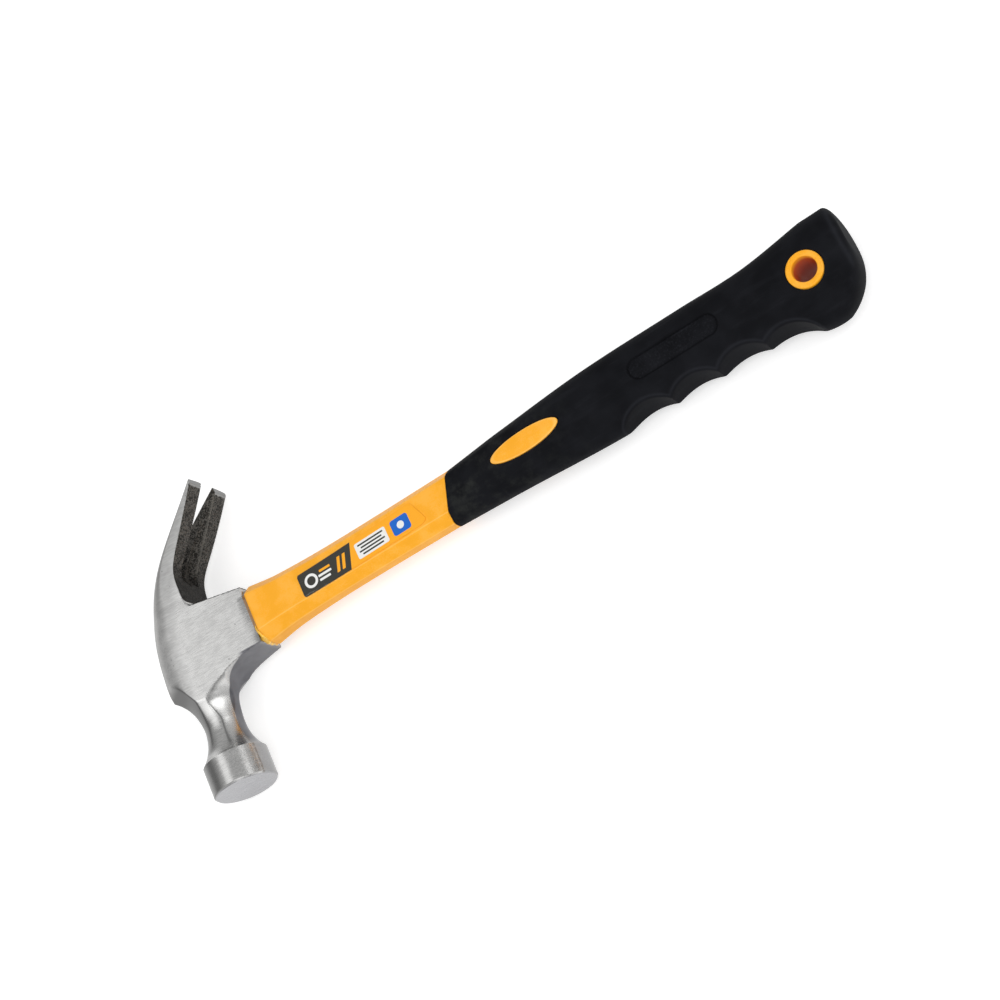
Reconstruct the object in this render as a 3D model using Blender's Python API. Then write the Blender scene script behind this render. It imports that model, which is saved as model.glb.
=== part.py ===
"""Claw hammer with a forged steel head, a fibreglass-cored plastic handle and a rubber grip.

Metres, +Z up. The hammer lies on its side: +X runs from the head to the butt, +Y to the claws and -Y to the
striking face. Every part is modelled on the handle's own datum, with x = 0 just past the mouth of the eye and
y = z = 0 on the handle's axis. One empty then carries the parts, so that the origin is under the middle.
"""

import math

import bmesh
import bpy
from mathutils import Vector

# Head: overall places
CROWN_X = -0.0505               # top of the head
MOUTH_X = -0.0013               # where the handle enters the eye
BELL_AXIS_X = -0.0347           # axis of the bell
NECK_AXIS_X = -0.0337           # axis of the neck, a little nearer to the handle
FACE_Y = -0.0604                # striking face
CHEEK_HALF = 0.0116             # half the thickness across the cheeks at the bell's axis
CHEEK_HALF_MOUTH = 0.0085       # the same at the mouth: the cheeks taper towards the handle

# Head: bell and neck
BELL_RADIUS = 0.0136
BELL_LENGTH = 0.0139            # striking face to rear rim
FACE_CHAMFER = 0.0008
RIM_CHAMFER = 0.0005
WAIST_Y = -0.0320               # thinnest place of the neck
WAIST_APOTHEM = 0.0081          # centre to flat at the waist
BELL_FLARE_POWER = 2.3          # how late the neck opens towards the bell
FACET_FADE_LENGTH = 0.0070      # the eight flats fade to round over this length before the rim

# Head: how far above the waist each family of neck flats reaches the body, at which distance from the axis of
# the neck, how much of that it gains early and how late it gains the rest
UNDERSIDE_TOP = (0.0196, MOUTH_X - NECK_AXIS_X, 0.0052, 12.0)
UNDERSIDE_CORNER_TOP = (0.0162, 0.0178, 0.0, 4.0)
CHEEK_TOP = (0.0110, CHEEK_HALF, 0.0, 1.7)
CROWN_CORNER_TOP = (0.0200, 0.0142, 0.0, 1.7)
CROWN_TOP = (0.0182, NECK_AXIS_X - CROWN_X, 0.0, 2.6)
EARLY_POWER = 1.2               # how soon the early part is gained

# Head: crown and claws
CROWN_ROUND = 0.0115            # depth of the rounded crown, measured into the head
CLAW_ROUND_ROOT = 0.55          # the same over the claws' thickness, at their root
CLAW_ROUND_TIP = 0.35           # and at their tip
CROWN_START_Y = -0.0120         # where the crown starts to bend towards the claws
CROWN_PULL_Y = 0.0309           # how far it runs straight on
CLAW_BEND = (-0.0328, 0.0404)   # control point of the bend
CLAW_TIP = (-0.0015, 0.0640)    # outer edge of the tip
CLAW_TIP_THICKNESS = 0.0017
CLAW_TIP_SETBACK = 0.0012       # the tip is ground back on its inner side
CLAW_TIP_HALF_WIDTH = 0.0147
CLAW_TIP_INNER_HALF = 0.0142
CLAW_EDGE_CHAMFER = 0.0004
CLAW_ROOT_Y = 0.0210            # where the inner face of the claw leaves the root
CLAW_ROOT_X = -0.0252
CLAW_INNER_PULL = 0.0165
CLAW_INNER_BEND = (-0.0239, 0.0316)
ROOT_CORNER = (-0.0236, 0.0166)  # inside corner between the claw and the wall of the eye
EYE_WALL_Y = 0.0127             # claw side of the eye at its mouth
CLAW_START = 33                 # per cent of the crown's curve at which the claws leave the root

# Head: channel down the middle of the claws' inner face
CHANNEL_HALF_TIP = 0.0056
CHANNEL_HALF_ROOT = 0.0064
CHANNEL_WALL_SLOPE = 0.35       # loss of half width over depth
CHANNEL_DEPTH = 0.0035          # at most
CHANNEL_DEPTH_SHARE = 0.70      # at most, over the claws' thickness
CHANNEL_START = 0.20            # share of the claws' length, from the root
CHANNEL_RUN_IN = 0.20           # share over which it reaches its depth
CHANNEL_LIFT = 0.0030           # height of its cutter over the inner face

# Head: nail slot
SLOT_HALF_TIP = 0.0046
SLOT_LENGTH = 0.0400
SLOT_END_RADIUS = 0.0014

# Eye and rod
EYE_HALF_Y = 0.0080
EYE_HALF_Z = 0.0056
EYE_TAPER = 0.0009              # growth of each half size from the mouth to the crown
EYE_CORNER = 0.0045
CORE_HALF_Y = 0.0062
CORE_HALF_Z = 0.0042
CORE_CORNER = 0.0034
CORE_TOP_RECESS = 0.0022        # end of the rod under the crown
CORE_END_X = 0.2440
EPOXY_TOP_RECESS = 0.0030
EPOXY_COLLAR_INSET = 0.0003     # collar edge inside the jacket's front edge
BEAD_RADII = (0.0015, 0.0024, 0.0072)
BEAD_Y = -0.0122

# Handle jacket: half width and half thickness at its own stations along x
JACKET_START = MOUTH_X + 0.0010
JACKET_MOUTH = (0.0130, 0.0103)
JACKET_NECK_X = 0.0140
JACKET_NECK = (0.0112, 0.0088)
JACKET_WAIST_X = 0.0420
JACKET_WAIST = (0.0104, 0.0075)
JACKET_REAR = (0.0106, 0.0079)
JACKET_SHOULDER = 0.0014        # rounded shoulder against the collar
FLAT_SHARE = 0.645              # broad flat over the whole width of the octagon
EDGE_SHARE = 0.38               # narrow edge flat over the whole thickness
TANG_HALF_Y = 0.0077
TANG_HALF_Z = 0.0062
TANG_END_X = 0.2490

# Rubber grip: x, claw side y, bell side y, half thickness
GRIP_FRONT_X = 0.0956
GRIP_FRONT_SLANT = 0.33         # lean of the front edge, x per y
GRIP_SLANT_FADE = 0.0240
GRIP_PROUD = 0.0003             # rubber over the jacket at the front edge
GRIP_SECTIONS = (
    (0.1250, 0.0134, -0.0122, 0.0099),
    (0.1650, 0.0164, -0.0145, 0.0118),
    (0.2100, 0.0170, -0.0150, 0.0125),
    (0.2380, 0.0172, -0.0164, 0.0127),
    (0.2660, 0.0214, -0.0234, 0.0127),
)
GRIP_END_X = 0.2795
GRIP_ROUND_POWER = 2.5          # 2 is an ellipse, higher is squarer
FINGER_NARROWING = 0.28         # loss of thickness on the bell side, where the fingers close
BUTT_TOP_ROUND = (0.0036, 0.0085)
BUTT_LOW_ROUND = (0.0250, 0.0235)
BUTT_SIDE_ROUND = (0.0050, 0.0040)

# Finger grooves on the bell side
GROOVE_COUNT = 4
GROOVE_START_X = 0.1717
GROOVE_PITCH = 0.0207
GROOVE_RADIUS = 0.0172
GROOVE_CREST_Y = -0.0131
GROOVE_CREST_SLOPE = -0.024     # crest y per x
LAST_GROOVE_DROP = 0.0044       # the last groove leans into the flare of the butt

# Side features of the grip
INLAY_X = 0.1338
INLAY_Y = 0.0011
INLAY_HALF_LENGTH = 0.0160
INLAY_HALF_WIDTH = 0.0043
INLAY_DEPTH = 0.0020
INLAY_PROUD = 0.0003
SLOT_MARK_X = (0.1875, 0.2185)  # centres of the round ends of the shallow slot
SLOT_MARK_Y = 0.0014
SLOT_MARK_RADIUS = 0.0043
SLOT_MARK_DEPTH = 0.0006
HANG_HOLE_X = 0.2610
HANG_HOLE_Y = -0.0004
HANG_HOLE_RADIUS = 0.0050
BUSH_RADIUS = 0.0075
BUSH_PROUD = 0.0004

# Label on the near flat of the jacket
LABEL_CORNERS = ((0.0236, 0.0034), (0.0236, -0.0066), (0.0815, -0.0056), (0.0838, -0.0042), (0.0796, 0.0054))
LABEL_CORNER_RADIUS = 0.0012
LABEL_THICKNESS = 0.0002
LABEL_GAP = 0.0001

# Fits and fineness
CLEARANCE = 0.0003
ARC_STEPS = 12
SIDE_STEPS = 4
CURVE_STEPS = 14
OVERSIZE = 0.0200
NECK_OVERRUN = 1.01             # the underside runs on to this share of its height, past the mouth
NECK_END_SHARE = 1.25           # the crown corners run on to this share of theirs, past the rounded crown

COLOURS = {
    "hammer_head": ((0.52, 0.52, 0.51), 0.36, 1.0),
    "fibreglass_core": ((0.72, 0.66, 0.42), 0.45, 0.0),
    "eye_epoxy": ((0.72, 0.42, 0.05), 0.25, 0.0),
    "handle_jacket": ((0.96, 0.40, 0.03), 0.38, 0.0),
    "rubber_grip": ((0.012, 0.012, 0.013), 0.62, 0.0),
    "grip_inlay_left": ((0.96, 0.42, 0.03), 0.38, 0.0),
    "grip_inlay_right": ((0.96, 0.42, 0.03), 0.38, 0.0),
    "hang_hole_bush": ((0.95, 0.40, 0.03), 0.38, 0.0),
    "handle_label": ((0.05, 0.05, 0.05), 0.35, 0.0),
}


def clear_scene():
    for old in list(bpy.data.objects):
        bpy.data.objects.remove(old, do_unlink=True)


def new_collection(name):
    collection = bpy.data.collections.new(name)
    bpy.context.scene.collection.children.link(collection)
    return collection


def paint(obj):
    """Give a part its own material."""
    colour, roughness, metallic = COLOURS[obj.name]
    material = bpy.data.materials.new(obj.name)
    material.use_nodes = True
    shader = material.node_tree.nodes["Principled BSDF"]
    shader.inputs["Base Color"].default_value = (*colour, 1.0)
    shader.inputs["Roughness"].default_value = roughness
    shader.inputs["Metallic"].default_value = metallic
    obj.data.materials.append(material)


def loft(name, rings, collection):
    """Closed solid through rings that have the same number of points."""
    mesh_data = bmesh.new()
    rows = [[mesh_data.verts.new(point) for point in ring] for ring in rings]
    count = len(rows[0])
    for low, high in zip(rows, rows[1:]):
        for i in range(count):
            j = (i + 1) % count
            mesh_data.faces.new((low[i], low[j], high[j], high[i]))
    mesh_data.faces.new(rows[0])
    mesh_data.faces.new(rows[-1])
    bmesh.ops.recalc_face_normals(mesh_data, faces=mesh_data.faces)
    mesh = bpy.data.meshes.new(name)
    mesh_data.to_mesh(mesh)
    mesh_data.free()
    obj = bpy.data.objects.new(name, mesh)
    collection.objects.link(obj)
    obj.parent = datum
    return obj


def part(name, rings):
    obj = loft(name, rings, parts)
    paint(obj)
    return obj


def cutter(name, rings):
    obj = loft(name, rings, cutters)
    obj.hide_render = True
    obj.display_type = "WIRE"
    return obj


def combine(obj, other, operation):
    modifier = obj.modifiers.new(other.name, "BOOLEAN")
    modifier.operation = operation
    modifier.object = other


def prism(name, outline, low_z, high_z):
    """Cutter with an outline in x and y that stands along z."""
    return cutter(name, [[Vector((x, y, z)) for x, y in outline] for z in (low_z, high_z)])


def bezier(start, pull, bend, end, count):
    points = []
    for i in range(count + 1):
        t = i / count
        s = 1.0 - t
        points.append(tuple(
            s ** 3 * a + 3 * s * s * t * b + 3 * s * t * t * c + t ** 3 * d
            for a, b, c, d in zip(start, pull, bend, end)))
    return points


def arc(centre, radius, start, end, steps):
    """Points on a circle between two angles in radians."""
    angles = [start + (end - start) * i / steps for i in range(steps + 1)]
    return [(centre[0] + radius * math.cos(a), centre[1] + radius * math.sin(a)) for a in angles]


def rounded_rectangle(half_y, half_z, corner, steps=5):
    """Outline of a rod or an eye in y and z."""
    points = []
    signs = ((1, 1, 0.0), (-1, 1, 0.5), (-1, -1, 1.0), (1, -1, 1.5))
    for side_y, side_z, turn in signs:
        centre = (side_y * (half_y - corner), side_z * (half_z - corner))
        points += arc(centre, corner, turn * math.pi, (turn + 0.5) * math.pi, steps)
    return points


def rounded_polygon(corners, radius, steps=4):
    """Outline, drawn anticlockwise, whose corners are rounded with one radius."""
    points = []
    count = len(corners)
    for i, corner in enumerate(corners):
        here = Vector(corner)
        before = (Vector(corners[i - 1]) - here).normalized()
        after = (Vector(corners[(i + 1) % count]) - here).normalized()
        half_angle = before.angle(after) / 2
        centre = here + (before + after).normalized() * (radius / math.sin(half_angle))
        middle = math.atan2(here.y - centre.y, here.x - centre.x)
        reach = math.pi / 2 - half_angle
        points += arc(centre, radius, middle - reach, middle + reach, steps)
    return points


def ellipse(centre, half_x, half_y, steps=40):
    angles = [2 * math.pi * i / steps for i in range(steps)]
    return [(centre[0] + half_x * math.cos(a), centre[1] + half_y * math.sin(a)) for a in angles]


def stadium(first_x, last_x, y, radius):
    return (arc((last_x, y), radius, -math.pi / 2, math.pi / 2, 10)
            + arc((first_x, y), radius, math.pi / 2, 3 * math.pi / 2, 10))


def along_x(x, outline):
    """Ring with an outline in y and z at one place along the handle."""
    return [Vector((x, y, z)) for y, z in outline]


def smooth_track(stations, x):
    """Smooth curve through (x, values...) stations: the values at x, held level past the ends."""
    if x <= stations[0][0]:
        return stations[0][1:]
    if x >= stations[-1][0]:
        return stations[-1][1:]
    i = max(k for k, station in enumerate(stations) if station[0] <= x)
    left = stations[max(i - 1, 0)]
    here = stations[i]
    there = stations[i + 1]
    right = stations[min(i + 2, len(stations) - 1)]
    span = there[0] - here[0]
    t = (x - here[0]) / span
    values = []
    for k in range(1, len(here)):
        slope_here = (there[k] - left[k]) / (there[0] - left[0]) * span
        slope_there = (right[k] - here[k]) / (right[0] - here[0]) * span
        values.append((2 * t ** 3 - 3 * t ** 2 + 1) * here[k] + (t ** 3 - 2 * t ** 2 + t) * slope_here
                      + (3 * t ** 2 - 2 * t ** 3) * there[k] + (t ** 3 - t ** 2) * slope_there)
    return values


# Head

def neck_distance(family, over_waist):
    """Distance from the bell's axis to one family of flats, above the waist."""
    height, distance, early, power = family
    share = over_waist / height
    gain = early * share ** EARLY_POWER + (distance - WAIST_APOTHEM - early) * share ** power
    return min(WAIST_APOTHEM + gain, distance + OVERSIZE)


def octagon_corner(k, near, far):
    """Corner between flat k and the next one, from their distances to the axis."""
    angle = math.radians(45 * k)
    along = (far - near * math.cos(math.pi / 4)) / math.sin(math.pi / 4)
    return (near * math.cos(angle) - along * math.sin(angle),
            near * math.sin(angle) + along * math.cos(angle))


def neck_ring(y, distances, round_share):
    """Eight-sided ring round the bell's axis, blended towards a circle by round_share."""
    corners = [octagon_corner(k, distances[k], distances[(k + 1) % 8]) for k in range(8)]
    rim_y = FACE_Y + BELL_LENGTH
    lean = min(max((y - rim_y) / (WAIST_Y - rim_y), 0.0), 1.0)
    centre = BELL_AXIS_X + (NECK_AXIS_X - BELL_AXIS_X) * lean
    points = []
    for k in range(8):
        start = corners[k - 1]
        end = corners[k]
        for step in range(SIDE_STEPS):
            share = step / SIDE_STEPS
            angle = math.radians(45 * (k - 0.5 + share))
            flat_x = start[0] + (end[0] - start[0]) * share
            flat_z = start[1] + (end[1] - start[1]) * share
            x = flat_x + (distances[k] * math.cos(angle) - flat_x) * round_share
            z = flat_z + (distances[k] * math.sin(angle) - flat_z) * round_share
            points.append(Vector((centre + x, y, z)))
    return points


def flats_above_waist(over_waist):
    """Distances of the eight flats, starting at the handle side and turning towards the near cheek."""
    underside_corner = neck_distance(UNDERSIDE_CORNER_TOP, over_waist)
    crown_corner = neck_distance(CROWN_CORNER_TOP, over_waist)
    corner_reach = math.sqrt(2) * min(underside_corner, crown_corner) - CLEARANCE
    cheek = min(neck_distance(CHEEK_TOP, over_waist), corner_reach)
    underside = min(neck_distance(UNDERSIDE_TOP, over_waist), math.sqrt(2) * underside_corner - CLEARANCE)
    crown = min(neck_distance(CROWN_TOP, over_waist), math.sqrt(2) * crown_corner - CLEARANCE)
    underside_corner = min(underside_corner, (underside + cheek) / math.sqrt(2) - CLEARANCE)
    crown_corner = min(crown_corner, (crown + cheek) / math.sqrt(2) - CLEARANCE)
    return [underside, underside_corner, cheek, crown_corner, crown, crown_corner, cheek, underside_corner]


def bell_and_neck_rings():
    """From the striking face up the faceted neck, then past everything that the head's envelope holds."""
    rim_y = FACE_Y + BELL_LENGTH
    rim_radius = BELL_RADIUS - RIM_CHAMFER
    rings = [
        neck_ring(FACE_Y, [BELL_RADIUS - FACE_CHAMFER] * 8, 1.0),
        neck_ring(FACE_Y + FACE_CHAMFER, [BELL_RADIUS] * 8, 1.0),
        neck_ring(rim_y - RIM_CHAMFER, [BELL_RADIUS] * 8, 1.0),
    ]
    flare = WAIST_Y - rim_y
    for step in range(CURVE_STEPS):
        below = flare * (1 - step / CURVE_STEPS)
        radius = WAIST_APOTHEM + (rim_radius - WAIST_APOTHEM) * (below / flare) ** BELL_FLARE_POWER
        fade = (below - flare + FACET_FADE_LENGTH * 1.5) / FACET_FADE_LENGTH
        rings.append(neck_ring(WAIST_Y - below, [radius] * 8, min(max(fade, 0.0), 1.0)))
    steps = 2 * CURVE_STEPS
    heights = [UNDERSIDE_TOP[0] * NECK_OVERRUN * (1 - (1 - step / steps) ** 1.6) for step in range(steps + 1)]
    heights += [CROWN_CORNER_TOP[0] * share for share in (1.06, 1.12, NECK_END_SHARE)]
    for over_waist in heights:
        rings.append(neck_ring(WAIST_Y + over_waist, flats_above_waist(over_waist), 0.0))
    last = flats_above_waist(CROWN_CORNER_TOP[0] * NECK_END_SHARE)
    rings.append(neck_ring(CLAW_TIP[1] + OVERSIZE, last, 0.0))
    return rings


def cheek_half(x):
    taper = (CHEEK_HALF - CHEEK_HALF_MOUTH) / (MOUTH_X - BELL_AXIS_X)
    return CHEEK_HALF_MOUTH + taper * (MOUTH_X - x)


def envelope_ring(outer, inner, half_width, inner_half, round_share=CLAW_ROUND_ROOT):
    """Section of the head from a point on its inner face to one on its crown, both in x and y.

    The crown side is half an ellipse.
    """
    inner = Vector(inner)
    across = Vector(outer) - inner
    depth = across.length
    across.normalize()
    round_depth = min(CROWN_ROUND, round_share * depth)
    chamfer = CLAW_EDGE_CHAMFER
    profile = [
        (chamfer, -inner_half),
        (0.0, chamfer - inner_half),
        (0.0, inner_half - chamfer),
        (chamfer, inner_half),
    ]
    for step in range(ARC_STEPS + 1):
        angle = math.pi * (0.5 - step / ARC_STEPS)
        profile.append((depth - round_depth + round_depth * math.cos(angle), half_width * math.sin(angle)))
    ring = []
    for along, z in profile:
        place = inner + across * along
        ring.append(Vector((place.x, place.y, z)))
    return ring


def claw_tip_inner():
    """Inner edge of the tip: square across the way the claw points, then set back."""
    way = (Vector(CLAW_TIP) - Vector(CLAW_BEND)).normalized()
    square = Vector((way.y, -way.x))
    return Vector(CLAW_TIP) + square * CLAW_TIP_THICKNESS - way * CLAW_TIP_SETBACK


def crown_curve(count):
    return bezier((CROWN_X, CROWN_START_Y), (CROWN_X, CROWN_PULL_Y), CLAW_BEND, CLAW_TIP, count)


def claw_inner_curve(count):
    return bezier((CLAW_ROOT_X, CLAW_ROOT_Y), (CLAW_ROOT_X, CLAW_ROOT_Y + CLAW_INNER_PULL),
                  CLAW_INNER_BEND, claw_tip_inner(), count)


def claw_stations():
    """Places along the claws: share from root to tip, point on the inner face and point on the crown."""
    crown = crown_curve(100)
    stations = []
    for step, inner in enumerate(claw_inner_curve(CURVE_STEPS)):
        share = step / CURVE_STEPS
        outer = crown[round(CLAW_START + (100 - CLAW_START) * share)]
        stations.append((share, Vector(inner), Vector(outer)))
    return stations


def envelope_rings():
    """Body, crown and claws as one sweep: oversize round the bell, then the true section to the claw tip."""
    wide = CHEEK_HALF + OVERSIZE
    far_left = CROWN_X - OVERSIZE
    body_start = WAIST_Y + 0.2 * (CROWN_START_Y - WAIST_Y)
    rings = [
        envelope_ring((far_left, FACE_Y - OVERSIZE), (OVERSIZE, FACE_Y - OVERSIZE), wide, wide),
        envelope_ring((far_left, WAIST_Y), (OVERSIZE, WAIST_Y), wide, wide),
        envelope_ring((CROWN_X, body_start), (MOUTH_X, body_start), CHEEK_HALF, CHEEK_HALF_MOUTH),
    ]
    crown = crown_curve(100)
    for share in (0, 5, 10, 15):
        rings.append(envelope_ring(crown[share], (MOUTH_X, crown[share][1]), CHEEK_HALF, CHEEK_HALF_MOUTH))
    wall_middle = ((MOUTH_X + ROOT_CORNER[0]) / 2, (EYE_WALL_Y + ROOT_CORNER[1]) / 2)
    corner_round = ((ROOT_CORNER[0] + 2 * CLAW_ROOT_X) / 3, (2 * ROOT_CORNER[1] + CLAW_ROOT_Y) / 3)
    fan = ((20, (MOUTH_X, EYE_WALL_Y)), (23, wall_middle), (27, ROOT_CORNER), (30, corner_round))
    for share, inner in fan:
        rings.append(envelope_ring(crown[share], inner, CHEEK_HALF, cheek_half(inner[0])))
    root_half = cheek_half(CLAW_ROOT_X)
    for share, inner, outer in claw_stations():
        half_width = CHEEK_HALF + (CLAW_TIP_HALF_WIDTH - CHEEK_HALF) * share
        inner_half = root_half + (CLAW_TIP_INNER_HALF - root_half) * share
        round_share = CLAW_ROUND_ROOT + (CLAW_ROUND_TIP - CLAW_ROUND_ROOT) * share
        rings.append(envelope_ring(outer, inner, half_width, inner_half, round_share))
    return rings


def channel_ring(inner, across, depth, half):
    """Trapezium from over the inner face down to the channel's floor; half is the half width at the face."""
    top_half = half + CHANNEL_WALL_SLOPE * CHANNEL_LIFT
    floor_half = half - CHANNEL_WALL_SLOPE * depth
    top = -CHANNEL_LIFT
    ring = []
    for along, z in ((top, -top_half), (depth, -floor_half), (depth, floor_half), (top, top_half)):
        place = inner + across * along
        ring.append(Vector((place.x, place.y, z)))
    return ring


def channel_rings():
    """Channel that sinks into the inner face past the root, follows the claws and runs out past their tip."""
    rings = []
    for share, inner, outer in claw_stations():
        if share < CHANNEL_START - 1 / CURVE_STEPS:
            continue
        across = outer - inner
        sunk = min(max((share - CHANNEL_START) / CHANNEL_RUN_IN, 0.0), 1.0)
        full = min(CHANNEL_DEPTH, CHANNEL_DEPTH_SHARE * across.length)
        depth = full * math.sin(sunk * math.pi / 2) - CLEARANCE * (1 - sunk)
        half = CHANNEL_HALF_ROOT + (CHANNEL_HALF_TIP - CHANNEL_HALF_ROOT) * share
        rings.append(channel_ring(inner, across.normalized(), depth, half))
    onwards = (rings[-1][0] - rings[-2][0]).normalized() * CHANNEL_LIFT
    rings.append([point + onwards for point in rings[-1]])
    return rings


def nail_slot_rings():
    """Wedge through the claws, square to them, that narrows from the tip to a round end."""
    outer = crown_curve(100)
    tip = (Vector(CLAW_TIP) + claw_tip_inner()) / 2
    back = next(point for point in reversed(outer) if (Vector(point) - tip).length > SLOT_LENGTH)
    way = (Vector(back) - tip).normalized()
    square = Vector((-way.y, way.x))
    slope = (SLOT_HALF_TIP - SLOT_END_RADIUS) / SLOT_LENGTH
    outline = [(-OVERSIZE, SLOT_HALF_TIP + slope * OVERSIZE)]
    outline += [(SLOT_LENGTH - SLOT_END_RADIUS + SLOT_END_RADIUS * math.sin(a), SLOT_END_RADIUS * math.cos(a))
                for a in (math.pi * i / 8 for i in range(9))]
    outline.append((-OVERSIZE, -SLOT_HALF_TIP - slope * OVERSIZE))
    rings = []
    for side in (-OVERSIZE, OVERSIZE):
        ring = []
        for along, z in outline:
            place = tip + way * along + square * side
            ring.append(Vector((place.x, place.y, z)))
        rings.append(ring)
    return rings


def eye_half(x):
    """Half sizes of the eye at x: it widens towards the crown, so that the cast resin locks the head."""
    grow = EYE_TAPER * x / CROWN_X
    return EYE_HALF_Y + grow, EYE_HALF_Z + grow


def eye_outline(x, inset):
    half_y, half_z = eye_half(x)
    return along_x(x, rounded_rectangle(half_y - inset, half_z - inset, EYE_CORNER - inset))


def make_head():
    head = part("hammer_head", bell_and_neck_rings())
    combine(head, cutter("head_envelope", envelope_rings()), "INTERSECT")
    eye = cutter("eye", [eye_outline(CROWN_X - OVERSIZE, 0.0), eye_outline(OVERSIZE, 0.0)])
    combine(head, eye, "DIFFERENCE")
    combine(head, cutter("claw_channel", channel_rings()), "DIFFERENCE")
    combine(head, cutter("nail_slot", nail_slot_rings()), "DIFFERENCE")


# Rod and resin

def core_outline(grow):
    return rounded_rectangle(CORE_HALF_Y + grow, CORE_HALF_Z + grow, CORE_CORNER + grow)


def make_core():
    top = CROWN_X + CORE_TOP_RECESS
    part("fibreglass_core", [along_x(top, core_outline(0.0)), along_x(CORE_END_X, core_outline(0.0))])
    space = core_outline(CLEARANCE)
    return cutter("core_space", [along_x(CROWN_X - OVERSIZE, space), along_x(CORE_END_X + CLEARANCE, space)])


def ellipsoid_rings(centre, radii, steps=14):
    rings = []
    for i in range(1, steps):
        angle = math.pi * i / steps
        z = centre[2] - radii[2] * math.cos(angle)
        outline = ellipse(centre, radii[0] * math.sin(angle), radii[1] * math.sin(angle), 20)
        rings.append([Vector((x, y, z)) for x, y in outline])
    return rings


def make_epoxy(core_space):
    """Resin sleeve in the eye, the collar under the head and the bead squeezed out on the bell side."""
    top = CROWN_X + EPOXY_TOP_RECESS
    collar_start = MOUTH_X + CLEARANCE
    collar_end = JACKET_START - CLEARANCE
    epoxy = part("eye_epoxy", [eye_outline(top, CLEARANCE), eye_outline(collar_end, CLEARANCE)])
    half_y = JACKET_MOUTH[0] - JACKET_SHOULDER - EPOXY_COLLAR_INSET
    half_z = JACKET_MOUTH[1] - JACKET_SHOULDER - EPOXY_COLLAR_INSET
    collar = [along_x(x, octagon(half_y, half_z)) for x in (collar_start, collar_end)]
    combine(epoxy, cutter("resin_collar", collar), "UNION")
    bead = cutter("resin_bead", ellipsoid_rings(((collar_start + collar_end) / 2, BEAD_Y, 0.0), BEAD_RADII))
    head_edge_y = WAIST_Y + UNDERSIDE_TOP[0] - 2 * CLEARANCE
    jacket_edge_y = -JACKET_MOUTH[0] - CLEARANCE
    for name, inner_x, outer_x, low_y in (("bead_head_side", collar_start, -OVERSIZE, head_edge_y),
                                          ("bead_jacket_side", collar_end, OVERSIZE, jacket_edge_y)):
        box = ((inner_x, low_y), (outer_x, low_y), (outer_x, 0.0), (inner_x, 0.0))
        combine(bead, prism(name, box, -OVERSIZE, OVERSIZE), "DIFFERENCE")
    combine(epoxy, bead, "UNION")
    combine(epoxy, core_space, "DIFFERENCE")


# Handle jacket

def octagon(half_y, half_z):
    """Eight-sided outline in y and z with broad side flats and narrow edge flats, cut into short steps."""
    flat = FLAT_SHARE * half_y
    edge = EDGE_SHARE * half_z
    corners = [(half_y, -edge), (half_y, edge), (flat, half_z), (-flat, half_z),
               (-half_y, edge), (-half_y, -edge), (-flat, -half_z), (flat, -half_z)]
    points = []
    for k, corner in enumerate(corners):
        following = corners[(k + 1) % 8]
        for step in range(SIDE_STEPS):
            share = step / SIDE_STEPS
            points.append(tuple(a + (b - a) * share for a, b in zip(corner, following)))
    return points


def jacket_half(x):
    return smooth_track((
        (JACKET_START, *JACKET_MOUTH),
        (JACKET_NECK_X, *JACKET_NECK),
        (JACKET_WAIST_X, *JACKET_WAIST),
        (GRIP_FRONT_X, *JACKET_REAR),
    ), x)


def slanted(ring):
    """Lean a ring like the grip's front edge."""
    return [Vector((point.x + GRIP_FRONT_SLANT * point.y, point.y, point.z)) for point in ring]


def jacket_skin(grow):
    """Rings of the jacket's outside, from the head to the front edge of the grip."""
    half_y, half_z = JACKET_MOUTH
    rings = [along_x(JACKET_START, octagon(half_y - JACKET_SHOULDER + grow, half_z - JACKET_SHOULDER + grow))]
    start = JACKET_START + JACKET_SHOULDER
    end = GRIP_FRONT_X - CLEARANCE
    straight_end = end - GRIP_FRONT_SLANT * 1.5 * JACKET_REAR[0]
    for step in range(CURVE_STEPS + 1):
        x = start + (straight_end - start) * step / CURVE_STEPS
        half_y, half_z = jacket_half(x)
        rings.append(along_x(x, octagon(half_y + grow, half_z + grow)))
    half_y, half_z = JACKET_REAR
    rings.append(slanted(along_x(end, octagon(half_y + grow, half_z + grow))))
    return rings


def make_jacket(core_space):
    tang = octagon(TANG_HALF_Y, TANG_HALF_Z)
    rings = jacket_skin(0.0)
    rings.append(slanted(along_x(GRIP_FRONT_X - CLEARANCE, tang)))
    rings.append(along_x(TANG_END_X, tang))
    combine(part("handle_jacket", rings), core_space, "DIFFERENCE")


def make_label():
    """Thin film that follows the near flat of the jacket."""
    outline = rounded_polygon(LABEL_CORNERS, LABEL_CORNER_RADIUS)
    label = part("handle_label", [[Vector((x, y, z)) for x, y in outline] for z in (0.0, OVERSIZE)])
    skins = ((LABEL_GAP + LABEL_THICKNESS, "INTERSECT"), (LABEL_GAP, "DIFFERENCE"))
    for grow, operation in skins:
        combine(label, cutter("label_" + operation.lower(), jacket_skin(grow)), operation)


# Rubber grip

def quarter_drop(x, end, radii):
    """How far a rounded end has fallen at x: a quarter of an ellipse that ends at the butt."""
    past = (x - end + radii[0]) / radii[0]
    return radii[1] * (1 - math.sqrt(1 - min(max(past, 0.0), 1.0) ** 2))


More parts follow.
